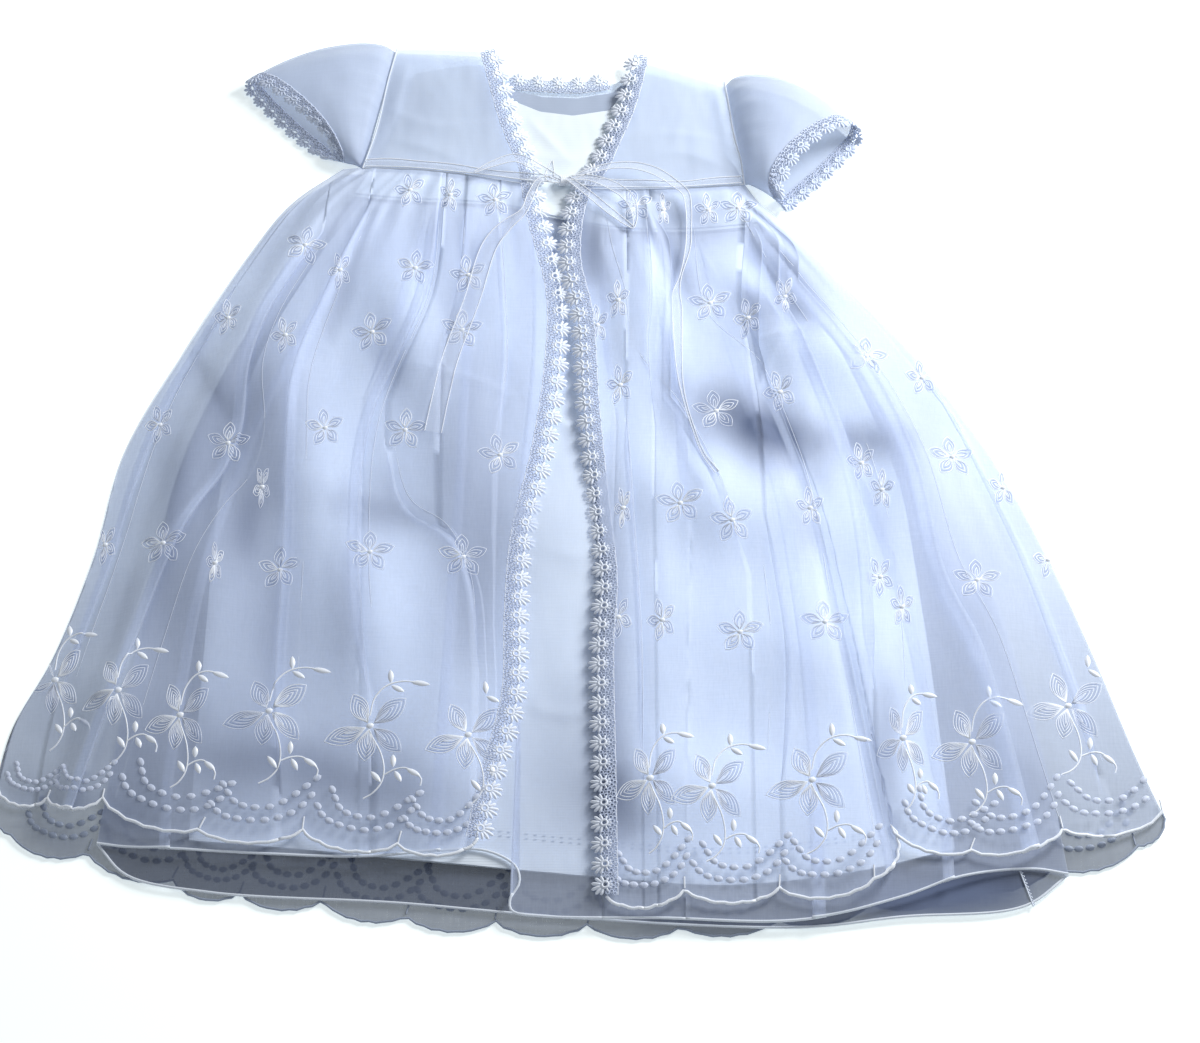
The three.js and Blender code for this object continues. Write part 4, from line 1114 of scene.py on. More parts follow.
    def gathered(self, across: Array, down: Array, widths: Array, fallen: Array) -> Array:
        """Height of the gathers under the waist seam, each with its own width, lean, height and reach.

        Args:
            across: place across the panel of each point.
            down: share of the length of each row.
            widths: width of each row.
            fallen: distance of each point from the seam.

        Returns:
            The height that they add at each point.
        """
        total = np.zeros_like(across)
        chance = np.random.default_rng(self.seed)
        for k in range(self.gathers):
            centre = (k + 0.2 + 0.6 * chance.random()) / self.gathers
            lean = 0.02 * (chance.random() - 0.5)
            size = self.gather_lift * (0.45 + 0.75 * chance.random())
            reach = self.gather_reach * (0.4 + 1.1 * chance.random())
            half = widths[0] / self.gathers * (0.16 + 0.36 * chance.random())
            gap = (across - centre - lean * down[:, None]) * widths[:, None]
            spread = half * (1 + fallen / 60)
            skew = np.where(gap > 0, 0.6, 1.3) if chance.random() > 0.5 else np.where(gap > 0, 1.3, 0.6)
            ridge = np.exp(-((gap / (spread * skew)) ** 2))
            total += size * ridge * smoothstep(fallen, 0, 7) * np.exp(-((fallen / reach) ** 2))
        return total

    def wrinkled(self, places: Array) -> Array:
        """Small uneven dents of crisp cloth."""
        flat = places.reshape(-1, 2)
        found = np.fromiter(
            (
                noise.noise(Vector((x / 17, y / 34, self.seed)))
                + 0.5 * noise.noise(Vector((x / 6, y / 15, self.seed + 9)))
                for x, y in flat
            ),
            float,
            len(flat),
        )
        return self.wrinkle * found.reshape(places.shape[:-1])

    def build(self) -> "Cloth":
        """Makes the piece, which stands for its solid.

        Returns:
            The cloth.
        """
        points, shaded = self.layout()
        piece = new_piece(self.name, points, grid_faces(*points.shape[:2]), shaded)
        self.finish.dress(piece)
        piece.visible_shadow = self.finish not in (Finish.DRESS, Finish.ROBE)
        attach(piece, self.slot, self.node)
        return Cloth(points, piece, self, self.fold_edges(points))


@dataclass
class Cloth:
    """A finished piece of cloth, its grid of points and the lips of its folds."""

    points: Array
    piece: bpy.types.Object
    cut: Panel
    folds: list[tuple[Array, Array]]
    sewn: list[bpy.types.Object] = field(default_factory=list)

    def declare(self) -> None:
        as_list(self.sewn)

    def sew(self, work: Needlework, name: str, finish: Finish) -> bpy.types.Object:
        """Makes a piece of needlework and sews it to the cloth."""
        self.sewn.append(attach(work.piece(name, finish), self.cut.slot))
        return self.sewn[-1]

    def surface(self) -> Surface:
        """Its surface, to lay other work on."""
        return Surface(self.points.reshape(-1, 3), grid_faces(*self.points.shape[:2]))


def sides(left: Rows, right: Rows) -> dict[str, Edge]:
    """The smooth left and right edges of a panel."""
    return {"left": Edge.smooth(left), "right": Edge.smooth(right)}


@dataclass
class Layers:
    """Cloths that lie over each other, by the names of their pieces."""

    cloths: dict[str, Cloth] = field(default_factory=dict)

    def lay(self, name: str, node: str, **cut: object) -> None:
        """Builds the panel that stands for a solid, and keeps its cloth.

        Args:
            name: the piece's name.
            node: the solid's name.
            cut: the panel's other fields.
        """
        self.cloths[name] = Panel(name, node, **cut).build()


def attach(piece: bpy.types.Object, slot: str, *nodes: str) -> bpy.types.Object:
    """Rides a piece on the gown and lets it stand for nodes."""
    if nodes:
        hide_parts(*nodes)
    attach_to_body(piece, "root")
    return piece


# The view


def aim(name: str, data: bpy.types.ID, place: Sequence[float], way: Vector) -> bpy.types.Object:
    """Adds a camera or a lamp.

    Args:
        name: its name.
        data: what it is.
        place: where it stands, in metres.
        way: direction that it looks along.

    Returns:
        The object.
    """
    added = bpy.data.objects.new(name, data)
    added.location = place
    added.rotation_mode = "QUATERNION"
    added.rotation_quaternion = way.to_track_quat("-Z", "Y")
    bpy.context.scene.collection.objects.link(added)
    return added


@dataclass(frozen=True)
class Viewpoint:
    """The camera, and what its picture places mean on the gown. Picture places are in 1200 by 1043."""

    lens_mm: float = 99.473
    sensor_mm: float = 36.0
    wide: float = 1200.0
    high: float = 1043.0
    place: tuple[float, float, float] = (0.012867, -0.931188, 1.677601)
    fall: float = 0.469472
    depth: float = 0.882948

    def camera(self) -> None:
        """Makes the scene's camera."""
        data = bpy.data.cameras.new("camera")
        data.lens = self.lens_mm
        data.sensor_width = self.sensor_mm
        data.clip_start, data.clip_end = 0.1, 20
        bpy.context.scene.camera = aim("camera", data, self.place, Vector((0, self.fall, -self.depth)))

    def on(self, surface: Surface, x: float, y: float, above: float = 0.0, lowest: float = 0.0) -> Array | None:
        """Place on or over a surface that is seen at a picture place.

        Args:
            surface: what is looked at.
            x: picture place from the left.
            y: picture place from the top.
            above: height over the surface.
            lowest: height that it doesn't go below.

        Returns:
            The place in the gown's plan and its height, or None past the surface.
        """
        focal = self.wide * self.lens_mm / self.sensor_mm
        right, up = (x - self.wide / 2) / focal, -(y - self.high / 2) / focal
        way = Vector((right, self.fall + up * self.depth, -self.depth + up * self.fall))
        start = Vector(self.place) / MM - Vector((*PLAN_SHIFT, 0))
        hit = surface.seen(start, way.normalized())
        if hit is None and not lowest:
            return None
        height = lowest if hit is None else max(hit.z + above, lowest)
        return np.array(start + way * ((height - start.z) / way.z))


VIEW = Viewpoint()


# The dress

# The front hem as it lies: hitched up under the robe on the left, where it turns over in an S.
HITCHED_HEM = [
    (-263, -238), (-250, -240), (-224, -242), (-178, -245), (-120, -247), (-76, -244), (-57, -243), (-44, -246.5),
    (-35, -253), (-33, -262), (-38, -272), (-37, -278), (-20, -281), (40, -282), (118, -283), (173, -270),
    (207, -258), (245, -253), (264, -256),
]


@dataclass
class Dress(Layers):
    """Sleeveless dress: satin bodice, sheer skirt over an opaque lining."""

    rolled_hem: float = 0.8
    hem_stitch: float = 0.22
    waist_seam: float = 0.35

    def build(self) -> None:
        """Makes all its pieces, from the floor up."""
        waist = Edge.smooth(DRESS_WAIST)
        bodice = {
            "slot": "satin", "foot": waist, "flat": (0.25, 0.125), "area": 0.021,
            **sides(DRESS_LEFT_ARMHOLE, DRESS_RIGHT_ARMHOLE),
        }
        skirt = {
            "slot": "organza", "top": waist,
            **sides(DRESS_LEFT_SIDE, DRESS_RIGHT_SIDE),
        }
        lining = {
            "slot": "lining", "finish": Finish.LINING, "flat": (0.48, 0.42), "area": 0.15,
            "top": waist.part(LINING_LEFT_SIDE[0], LINING_RIGHT_SIDE[0]), "foot": Edge.smooth(LINING_HEM),
            **sides(LINING_LEFT_SIDE, LINING_RIGHT_SIDE),
        }
        self.lay(
            "dress_bodice_back_satin", "dress_bodice_back", finish=Finish.SATIN_BACK,
            top=Edge.cornered(DRESS_BACK_TOP), grid_mm=3, **bodice,
        )
        self.lay(
            "dress_skirt_back_organza", "dress_skirt_back_sheer", finish=Finish.BACK,
            foot=Edge.smooth(DRESS_BACK_HEM), flat=(0.53, 0.46), area=0.18, grid_mm=4, shades=HEM_SHADES, **skirt,
        )
        self.lay("lining_back", "dress_skirt_back_lining", grid_mm=5, **lining)
        self.lay(
            "lining_front", "dress_skirt_front_lining", swells=SWELLS, shades=SKIRT_SHADES, gathers=16,
            gather_lift=0.12, gather_reach=120, grid_mm=2.6, wrinkle=0.3, seed=5, creases=LINING_CREASES, **lining,
        )
        self.lay(
            "dress_bodice_front_satin", "dress_bodice_front", finish=Finish.SATIN,
            top=Edge.cornered(DRESS_FRONT_TOP), grid_mm=2, creases=SATIN_CREASES, wrinkle=0.3, **bodice,
        )
        self.lay(
            "dress_skirt_front_organza", "dress_skirt_front_sheer", finish=Finish.DRESS,
            foot=Edge.smooth(HITCHED_HEM), flat=(0.6, 0.46), area=0.2, swells=SWELLS, shades=SKIRT_SHADES,
            gathers=24, gather_lift=0.7, gather_reach=80, grid_mm=2.4, seed=8, pleats=DRESS_PLEATS, **skirt,
        )

    def finish_edges(self) -> None:
        """Adds the rolled hems, a serged seam end, the lining's stitched hem and the waist seam."""
        front, back = self.cloths["dress_skirt_front_organza"], self.cloths["dress_skirt_back_organza"]
        hems = Needlework()
        for cloth in (front, back):
            hems.thread(cloth.points[-1], self.rolled_hem, 5)
        front.sew(hems, "dress_rolled_hems", Finish.HEM)
        seam = Needlework()
        surface = back.surface()
        zigzag = np.array([(238 + 0.3 * k + 1.4 * (k % 2), -254 - k) for k in range(21)], float)
        seam.thread(np.column_stack([zigzag, surface.heights(zigzag) + 0.4]), 0.4, 4)
        seam.thread(np.column_stack([zigzag[::2], surface.heights(zigzag[::2]) + 0.5]), 0.45, 4)
        back.sew(seam, "dress_serged_seam", Finish.SEWING)
        stitches = Needlework()
        lining = self.cloths["lining_front"]
        for rows_up in (8, 9):
            line = lining.points[-rows_up]
            for a, b in zip(line[:-1:2], line[1::2]):
                stitches.thread(np.array([a, a * 0.3 + b * 0.7]) + (0, 0, 0.35), self.hem_stitch)
        satin = self.cloths["dress_bodice_front_satin"].points
        stitches.thread(satin[-2] + (0, 0, 0.4), self.waist_seam)
        lining.sew(stitches, "dress_stitching", Finish.SEWING)


LINING_CREASES = (
    Crease([(-24, 35), (-8, 22), (6, 10)], 1.2, 3.0, 0.3),
    Crease([(-30, -158), (-8, -163), (12, -160)], 0.9, 3.5, -0.3),
    Crease([(-22, -60), (-4, -64), (12, -58)], 0.6, 5.0),
    Crease([(30, 60), (80, 30), (140, 12)], -1.2, 9.0),
)
SATIN_CREASES = (
    Crease([(-40, 215), (-10, 208), (16, 214)], 0.8, 6.0),
    Crease([(-30, 178), (-8, 172), (8, 160)], -0.8, 5.0),
    Crease([(-34, 240), (-20, 222), (-6, 205)], 0.6, 4.0),
)
DRESS_PLEATS = (
    Pleat([(-120, 170), (-150, 110), (-190, 10), (-214, -90), (-225, -200)], 6, 1, 1.0, True),
    Pleat([(-95, 165), (-112, 100), (-130, 40)], 5, -1, 0.8),
    Pleat([(-60, 165), (-66, 100), (-72, 0), (-80, -120), (-88, -240)], 6, 1, 0.8, True),
    Pleat([(-30, 160), (-26, 80), (-30, -10), (-31, -120), (-31, -258)], 2.5, -1, 0.4, True),
    Pleat([(14, 150), (18, 100), (24, 40)], 4, 1, 0.6),
    Pleat([(48, 150), (52, 110), (62, 50), (66, -30)], 6, 1, 0.8),
    Pleat([(70, 150), (84, 90), (110, 0), (126, -120), (130, -260)], 7, -1, 1.0, True),
    Pleat([(118, 104), (142, 50), (160, 0), (186, -90), (205, -220)], 6, 1, 1.0, True),
)


# The robe


LEFT_PLEATS = (
    Pleat([(-205, 118), (-240, 34), (-262, -60), (-284, -150)], 6, 1, 1.0),
    Pleat([(-152, 150), (-178, 96), (-186, 60), (-183, 14), (-189, -13), (-204, -35), (-219, -67), (-233, -118),
           (-246, -179), (-256, -221)], 8, 1, 2.0, True),
    Pleat([(-126, 168), (-145, 107), (-158, 53), (-158, 5), (-157, -67), (-157, -130), (-154, -203)], 5, -1, 1.4),
    Pleat([(-85, 175), (-90, 106), (-117, 24), (-120, -67), (-111, -155)], 6, 1, 1.4),
    Pleat([(-70, 168), (-72, 120), (-80, 72)], 4, -1, 0.8),
    Pleat([(-109, 10), (-98, -29), (-77, -46), (-63, -75), (-58, -130)], 3, 1, 1.0),
    Pleat([(-50, 168), (-46, 120), (-44, 60), (-50, 10)], 4, 1, 0.8),
)
RIGHT_PLEATS = (
    Pleat([(14, 166), (18, 140), (25, 112), (31, 72), (56, 34), (77, -14), (90, -67)], 5, 1, 1.4),
    Pleat([(38, 170), (40, 106), (38, 72), (42, 24)], 4, -1, 1.0),
    Pleat([(26, 30), (30, -40), (34, -120), (34, -200)], 3, 1, 0.8),
    Pleat([(66, 160), (74, 96), (103, 62), (124, 8), (132, -26), (140, -93), (149, -155),
           (159, -235)], 8, 1, 1.8, True),
    Pleat([(98, -30), (106, -110), (102, -200)], 3, -1, 0.8),
    Pleat([(92, 172), (105, 141), (125, 99), (142, 64), (161, 18), (173, -33), (179, -93), (180, -155)], 7, 1, 1.8),
    Pleat([(104, 156), (151, 87), (178, 50), (197, 2), (214, -68), (234, -118), (261, -227)], 8, 1, 1.8, True),
    Pleat([(200, 60), (236, -20), (266, -110), (290, -200)], 5, -1, 1.0),
)
LEFT_CREASES = (
    Crease([(-126, 168), (-140, 112), (-151, 72)], -2.2, 7, 0.3),
    Crease([(-232, 74), (-218, 48), (-206, 20)], -2.0, 8, 0.3),
    Crease([(-106, 60), (-71, 51), (-37, 39)], 1.0, 3.5, 0.3),
    Crease([(-92, -60), (-80, -110), (-74, -170)], 1.4, 7, 0.4),
    Crease([(-130, 0), (-138, -60), (-134, -130)], 1.4, 8, -0.3),
    Crease([(-205, -90), (-208, -140), (-200, -190)], 1.2, 7, 0.3),
)
RIGHT_CREASES = (
    Crease([(100, 74), (119, 77), (141, 85)], 1.6, 2.6, 0.4),
    Crease([(119, 77), (108, 58), (98, 30)], 1.4, 3.0, 0.3),
    Crease([(46, 150), (54, 126), (60, 104)], -2.0, 7),
    Crease([(60, 40), (46, -30), (50, -110)], 1.2, 7, 0.3),
    Crease([(158, -60), (154, -120), (166, -190)], 1.6, 6, 0.3),
    Crease([(205, 20), (226, -30), (240, -80)], 1.4, 6, 0.3),
    Crease([(222, -130), (232, -170), (240, -215)], 1.4, 6, -0.3),
)
BODICE_CREASES_LEFT = (
    Crease([(-120, 245), (-90, 232), (-50, 236)], 1.0, 5, 0.3),
    Crease([(-118, 222), (-96, 216), (-70, 204)], 1.0, 5, -0.3),
    Crease([(-108, 280), (-112, 255), (-116, 230)], 1.0, 4, 0.2),
)
BODICE_CREASES_RIGHT = (
    Crease([(24, 222), (50, 226), (84, 222)], 0.9, 5, 0.3),
    Crease([(30, 208), (60, 212), (90, 200)], 0.9, 5, -0.3),
    Crease([(80, 262), (84, 240), (88, 215)], 1.0, 4, -0.2),
)


@dataclass
class Robe(Layers):
    """Sheer open robe: plain bodice, puff sleeves, embroidered skirt with a scalloped hem."""

    armhole_seam: float = 0.55
    waist_seam: float = 0.5

    def build_back(self) -> None:
        """Makes the back, which the rest lies on."""
        waist = Edge.smooth(ROBE_WAIST)
        self.lay(
            "robe_bodice_back_organza", "robe_bodice_back", slot="organza", finish=Finish.BODICE,
            top=Edge.cornered(ROBE_BACK_TOP), foot=waist.part(ROBE_LEFT_ARMHOLE[-1], ROBE_RIGHT_ARMHOLE[-1]),
            **sides(ROBE_LEFT_ARMHOLE, ROBE_RIGHT_ARMHOLE),
            flat=(0.24, 0.11), area=0.019, grid_mm=3,
        )
        self.lay(
            "robe_skirt_back_organza", "robe_skirt_back", slot="embroidered_organza", finish=Finish.BACK,
            top=waist, foot=Edge.scalloped(BACK_HEM_CUSPS),
            **sides(ROBE_LEFT_SIDE, ROBE_RIGHT_SIDE),
            flat=(0.66, 0.48), area=0.24, grid_mm=3.4, wrinkle=0.1, shades=HEM_SHADES,
        )

    def build_front(self) -> None:
        """Makes the two fronts."""
        waist = Edge.smooth(ROBE_WAIST)
        bodice = {
            "slot": "organza", "finish": Finish.BODICE, "flat": (0.11, 0.105), "grid_mm": 2, "wrinkle": 0.4,
            "shades": BODICE_SHADES,
        }
        skirt = {
            "slot": "embroidered_organza", "finish": Finish.ROBE, "swells": SWELLS, "shades": SKIRT_SHADES,
            "grid_mm": 1.95, "gather_lift": 1.5, "gather_reach": 75.0, "wrinkle": 0.35,
        }
        self.lay(
            "robe_bodice_left_organza", "robe_bodice_front_left", top=Edge.cornered(ROBE_BACK_TOP[:3]),
            foot=waist.part(ROBE_LEFT_ARMHOLE[-1], LEFT_NECK_EDGE[-1]),
            **sides(ROBE_LEFT_ARMHOLE, LEFT_NECK_EDGE),
            area=0.0085, creases=BODICE_CREASES_LEFT, **bodice,
        )
        self.lay(
            "robe_bodice_right_organza", "robe_bodice_front_right", top=Edge.cornered(ROBE_BACK_TOP[-3:]),
            foot=waist.part(RIGHT_NECK_EDGE[-1], ROBE_RIGHT_ARMHOLE[-1]),
            **sides(RIGHT_NECK_EDGE, ROBE_RIGHT_ARMHOLE),
            area=0.0072, creases=BODICE_CREASES_RIGHT, **bodice,
        )
        self.lay(
            "robe_skirt_left_organza", "robe_skirt_front_left",
            top=waist.part(ROBE_WAIST[0], LEFT_FRONT_EDGE[0]), foot=Edge.scalloped(LEFT_HEM_CUSPS),
            **sides(ROBE_LEFT_SIDE, LEFT_FRONT_EDGE), flat=(0.34, 0.46), area=0.105,
            pleats=LEFT_PLEATS, creases=LEFT_CREASES, gathers=14, seed=3, **skirt,
        )
        self.lay(
            "robe_skirt_right_organza", "robe_skirt_front_right",
            top=waist.part(RIGHT_FRONT_EDGE[0], ROBE_WAIST[-1]), foot=Edge.scalloped(RIGHT_HEM_CUSPS),
            **sides(RIGHT_FRONT_EDGE, ROBE_RIGHT_SIDE), flat=(0.38, 0.5), area=0.12,
            pleats=RIGHT_PLEATS, creases=RIGHT_CREASES, gathers=12, seed=4, **skirt,
        )

    def seams(self) -> None:
        """Adds the armhole and waist seams, and the bright lips of the folds, partly a painted highlight."""
        left, right = self.cloths["robe_bodice_left_organza"], self.cloths["robe_bodice_right_organza"]
        stitches = Needlework()
        for cloth, column in ((left, 0), (right, -1)):
            stitches.thread(cloth.points[:, column] + (0, 0, 0.5), self.armhole_seam, 4)
        for cloth in (left, right):
            stitches.thread(cloth.points[-1] + (0, 0, 0.4), self.waist_seam, 4)
        for name in ("robe_skirt_left_organza", "robe_skirt_right_organza"):
            for line, radius in self.cloths[name].folds:
                stitches.thread(line, radius, 4, flat=0.5)
        left.sew(stitches, "robe_seams", Finish.HEM)


@dataclass(frozen=True)
class Sleeve:
    """Short puff sleeve, gathered into the armhole and open at the cuff."""

    side: str
    rows: Rows
    hand: int
    flat: tuple[float, float]
    # How much painted shade the far half of the sleeve gets, where it is seen through the cuff.
    inside: float
    gathers: int = 9
    round_points: int = 150
    along_points: int = 64
    seed: int = 2

    def sections(self) -> Array:
        """Joins the table's rows smoothly.

        Returns:
            A row for each ring of points.
        """
        rows = np.array(self.rows, float)
        dense = smooth_points(rows, 30)
        steps = np.linspace(0, len(dense) - 1, self.along_points)
        return np.stack([np.interp(steps, np.arange(len(dense)), dense[:, k]) for k in range(7)], 1)

    def points(self) -> Array:
        """Shapes the cloth round each section, with its gathers and dents.

        Returns:
            Rings of points, from armhole to cuff.
        """
        rings = []
        turns = 2 * math.pi * np.arange(self.round_points) / self.round_points
        front, across = np.sin(turns), (1 - np.cos(turns)) / 2
        chance = np.random.default_rng(self.seed)
        phases = chance.random(self.gathers)
        sections = self.sections()
        for j, (tx, ty, lx, ly, loft, slant, back) in enumerate(sections):
            share = j / (len(sections) - 1)
            top, low = np.array([tx, ty]), np.array([lx, ly])
            line = low - top
            outward = np.array([-line[1], line[0]]) / np.linalg.norm(line) * self.hand
            edge = 0.4 * loft
            rise = np.where(front > 0, np.abs(front) ** 0.7, -np.minimum(1, 2.2 * np.abs(front)))
            inset = WALL / 2
            z = np.where(rise > 0, edge + (loft - inset - edge) * rise, edge + (edge - inset) * rise)
            shift = np.where(front > 0, -slant * front, -back * front)
            places = top + line * (0.01 + 0.98 * across[:, None]) + outward * shift[:, None]
            fade = 0.6 * math.exp(-((share / 0.33) ** 2)) * (1 - math.exp(-((share / 0.03) ** 2)))
            ripple = np.zeros_like(turns)
            for k, phase in enumerate(phases):
                gap = (across - (k + phase) / self.gathers) * np.linalg.norm(line)
                ripple += 1.3 * (0.5 + phase) * np.exp(-((gap / (1.6 + 5 * share)) ** 2))
            z = z + ripple * fade * np.clip(front, 0, 1) ** 0.5
            rings.append(np.concatenate([places, z[:, None]], 1))
        grid = np.array(rings)
        dents = np.array(
            [[noise.noise(Vector((p[0] / 16, p[1] / 20, self.seed + p[2] / 14))) for p in ring] for ring in grid]
        )
        grid[..., 2] += 0.7 * dents * np.clip(front, 0, 1)
        return grid

    def build(self) -> None:
        grid = self.points()
        turns = 2 * math.pi * np.arange(self.round_points) / self.round_points
        # Painted shade on the far half of the sleeve and by the armhole.
        shaded = np.where(np.sin(turns) < 0, self.inside, 0.0)[None] + np.zeros(grid.shape[:2])
        for shade in BODICE_SHADES:
            shaded += shade.dark(grid[..., :2])
        name = f"robe_sleeve_{self.side}"
        piece = new_piece(f"{name}_organza", grid, grid_faces(*grid.shape[:2], closed=True), shaded)
        Finish.BODICE.dress(piece)
        attach(piece, "organza", name)
        trims = Cuff(np.concatenate([grid, grid[:, :1]], 1)).lace(self.side)


@dataclass
class Cuff:
    """The open end of a sleeve, with the lace that is sewn round it. Sizes are in millimetres."""

    rings: Array
    daisy_gap: float = 10.8
    daisy_size: float = 0.9
    edge_cord: float = 0.42
    above: float = 0.4

    def __post_init__(self) -> None:
        """Measures the rim and the cloth just inside it."""
        self.rim = self.rings[-1]
        behind = self.rim - self.rings[-5]
        depth = np.linalg.norm(behind, axis=1)
        self.out = behind / np.maximum(depth, 1e-9)[:, None]
        self.row_gap = depth / 4
        self.along = np.concatenate([[0.0], np.cumsum(np.linalg.norm(np.diff(self.rim, axis=0), axis=1))])

    def place(self, at: float, reach: float) -> Array:
        """A place on the lace; inward from the rim it follows the cloth.

        Args:
            at: distance round the rim.
            reach: distance out from it.

        Returns:
            The point.
        """
        column = float(np.interp(at % self.along[-1], self.along, np.arange(len(self.along))))
        first, part = int(column), column % 1
        after = min(first + 1, len(self.along) - 1)
        reach = 0.8 * (reach + 1.0)
        if reach >= 0:
            spot = self.rim[first] * (1 - part) + self.rim[after] * part
            return spot + self.out[first] * reach + (0, 0, self.above)
        row = min(-reach / self.row_gap[first], len(self.rings) - 2)
        near, far = self.rings[-1 - int(row)], self.rings[-2 - int(row)]
        inner = near * (1 - row % 1) + far * (row % 1)
        return inner[first] * (1 - part) + inner[after] * part + (0, 0, self.above)

    def lace(self, side: str) -> list[bpy.types.Object]:
        """Makes the lace round the cuff.

        Args:
            side: left or right.

        Returns:
            The pieces of the lace.
        """
        lace = DaisyLace()
        whole = self.along[-1]
        count = round(whole / self.daisy_gap)
        for k in range(count):
            lace.daisy(self.place, (k + 0.5) * whole / count, self.daisy_size)
        edge = np.array([self.place(t * whole, -6.4) for t in np.linspace(0, 1, 140)[:-1]])
        lace.work.thread(edge, self.edge_cord, 4, closed=True)
        return lace.pieces(f"cuff_lace_{side}", Finish.CUFF_LACE, f"lace_cuff_{side}")


# Lace


@dataclass
class DaisyLace:
    """Corded daisy lace: a row of ringed daisies on a narrow net. Sizes are in millimetres.

    Its net has 2 mm rings of 0.9 mm cord, coarser than the real thread, which the picture couldn't show.
    """

    work: Needlework = field(default_factory=Needlework)
    net: Needlework = field(default_factory=Needlework)
    rise: float = -0.6
    centre: float = 0.6
    ring: float = 1.75
    ring_cord: float = 0.72
    petal_high: float = 1.15
    mesh: float = 1.0
    mesh_cord: float = 0.46
    edge_out: float = -6.2
    edge_cord: float = 0.3

    def daisy(self, place: Callable[[float, float], Array], along: float, size: float = 1.0) -> None:
        """Adds one daisy with its net.

        Args:
            place: gives the point at a distance along the strip and out towards the petals.
            along: distance of the daisy along the strip.
            size: its scale.
        """
        turns = np.linspace(0, 2 * math.pi, 13)[:-1]
        ring = [place(along + self.ring * math.cos(t), self.centre + self.ring * math.sin(t)) for t in turns]
        self.work.thread(np.array(ring) + (0, 0, 0.75), self.ring_cord, 5, closed=True)
        for angle, reach, wide in DAISY_PETALS:
            a = math.radians(angle)
            start, end = 2.2, 2.2 + reach * size
            steps = (start, (start + end) / 2, end)
            line = np.array([place(along + math.sin(a) * r, self.centre + math.cos(a) * r) for r in steps])
            way = line[-1] - line[0]
            middle = (line[0] + line[-1]) / 2 + (0, 0, 0.1)
            self.work.leaf(middle, way, np.linalg.norm(way) * 1.2, wide, self.petal_high, 0.3)
        for dx, out in DAISY_NET:
            small = [
                place(along + dx + self.mesh * math.cos(t), out + self.mesh * math.sin(t)) for t in turns[::2]
            ]
            self.net.thread(np.array(small) + (0, 0, 0.35), self.mesh_cord, 3, closed=True)

    def strip(self, line: Edge, petals: int, surface: Surface) -> None:
        """Lays a strip along an edge.

        Args:
            line: the cloth's edge.
            petals: 1 for daisies to the left of the way along it, -1 to its right.
            surface: what the strip lies on.
        """
        count = round(line.length / LACE_PITCH)
        shares = np.linspace(0, 1, 6 * count + 1)
        middles = line.at(shares)
        ways = line.way(shares)
        heights = evened(surface.heights(middles + 3 * np.stack([-ways[:, 1], ways[:, 0]], 1) * -petals))

        def place(along: float, out: float) -> Array:
            """A place at a distance along the strip and out from the edge."""
            share = min(max(along / line.length, 0.0), 1.0)
            way = line.way(np.array(share))
            side = np.array([-way[1], way[0]]) * petals
            x, y = line.at(np.array(share)) + side * out + way * (along - share * line.length)
            return np.array([x, y, float(np.interp(share, shares, heights)) + self.rise - 0.3 * max(out, 0.0)])

        for k in range(count):
            self.daisy(place, (k + 0.5) * line.length / count)
        cord = np.array([place(t * line.length, self.edge_out) for t in np.linspace(0, 1, 8 * count)])
        self.work.thread(cord + (0, 0, 0.25), self.edge_cord, 4)

    def pieces(self, name: str, finish: Finish, *nodes: str) -> list[bpy.types.Object]:
        """Makes the daisies and the net behind them, which lies lower and has a darker thread as painted shade."""
        return [
            attach(self.work.piece(name, finish), "lace", *nodes),
            attach(self.net.piece(f"{name}_net", Finish.LACE_NET), "lace"),
        ]


# Angle from the petal side, length and width of each petal, and places of the net's rings.
DAISY_PETALS = [
    (-66, 3.6, 1.7), (-40, 4.6, 2.0), (-13, 5.2, 2.1), (14, 5.2, 2.1), (41, 4.6, 2.0), (67, 3.6, 1.7),
    (-112, 2.0, 1.3), (112, 2.0, 1.3), (-150, 1.8, 1.3), (150, 1.8, 1.3), (180, 1.8, 1.3),
]
DAISY_NET = [
    (-6, 1.6), (-4.4, -0.6), (4.4, -0.6), (-6, -2.2), (-3.2, -3.0), (-0.9, -3.9), (1.5, -3.8), (3.8, -2.8),
    (-4.9, -4.9), (-2.6, -5.2), (0.1, -5.6), (2.7, -5.2), (5.1, -4.6),
]


# Embroidery


def petal_loops(length: float, width: float, count: int, bend: float = 0.0) -> list[Array]:
    """Stitched outlines of one pointed petal, one inside the other, from its root at 0 along +Y.

    Args:
        length: from the flower's middle to the petal's tip.
        width: across.
        count: outlines.
        bend: how far the tip turns to the right.

    Returns:
        The outlines' points.
    """
    u = np.concatenate([np.linspace(0, 1, 10), np.linspace(1, 0, 10)[1:-1]])
    side = np.where(np.arange(len(u)) < 10, 1, -1)
    found = []
    for k in range(count):
        share = 1 - k / count
        tip = 1 - 0.5 * k / count
        y = length * (0.1 + (tip - 0.1) * u)
        x = side * width / 2 * share * np.sin(math.pi * u**1.15) ** 0.9 + bend * u * u
        found.append(np.stack([x, y], 1))
    return found


# Angle, length and width of a small flower's petals.
SMALL_PETALS = [(-8, 14.0, 7.4), (64, 14.4, 6.6), (-78, 14.4, 6.8), (138, 13.4, 7.4), (-148, 13.6, 7.4)]

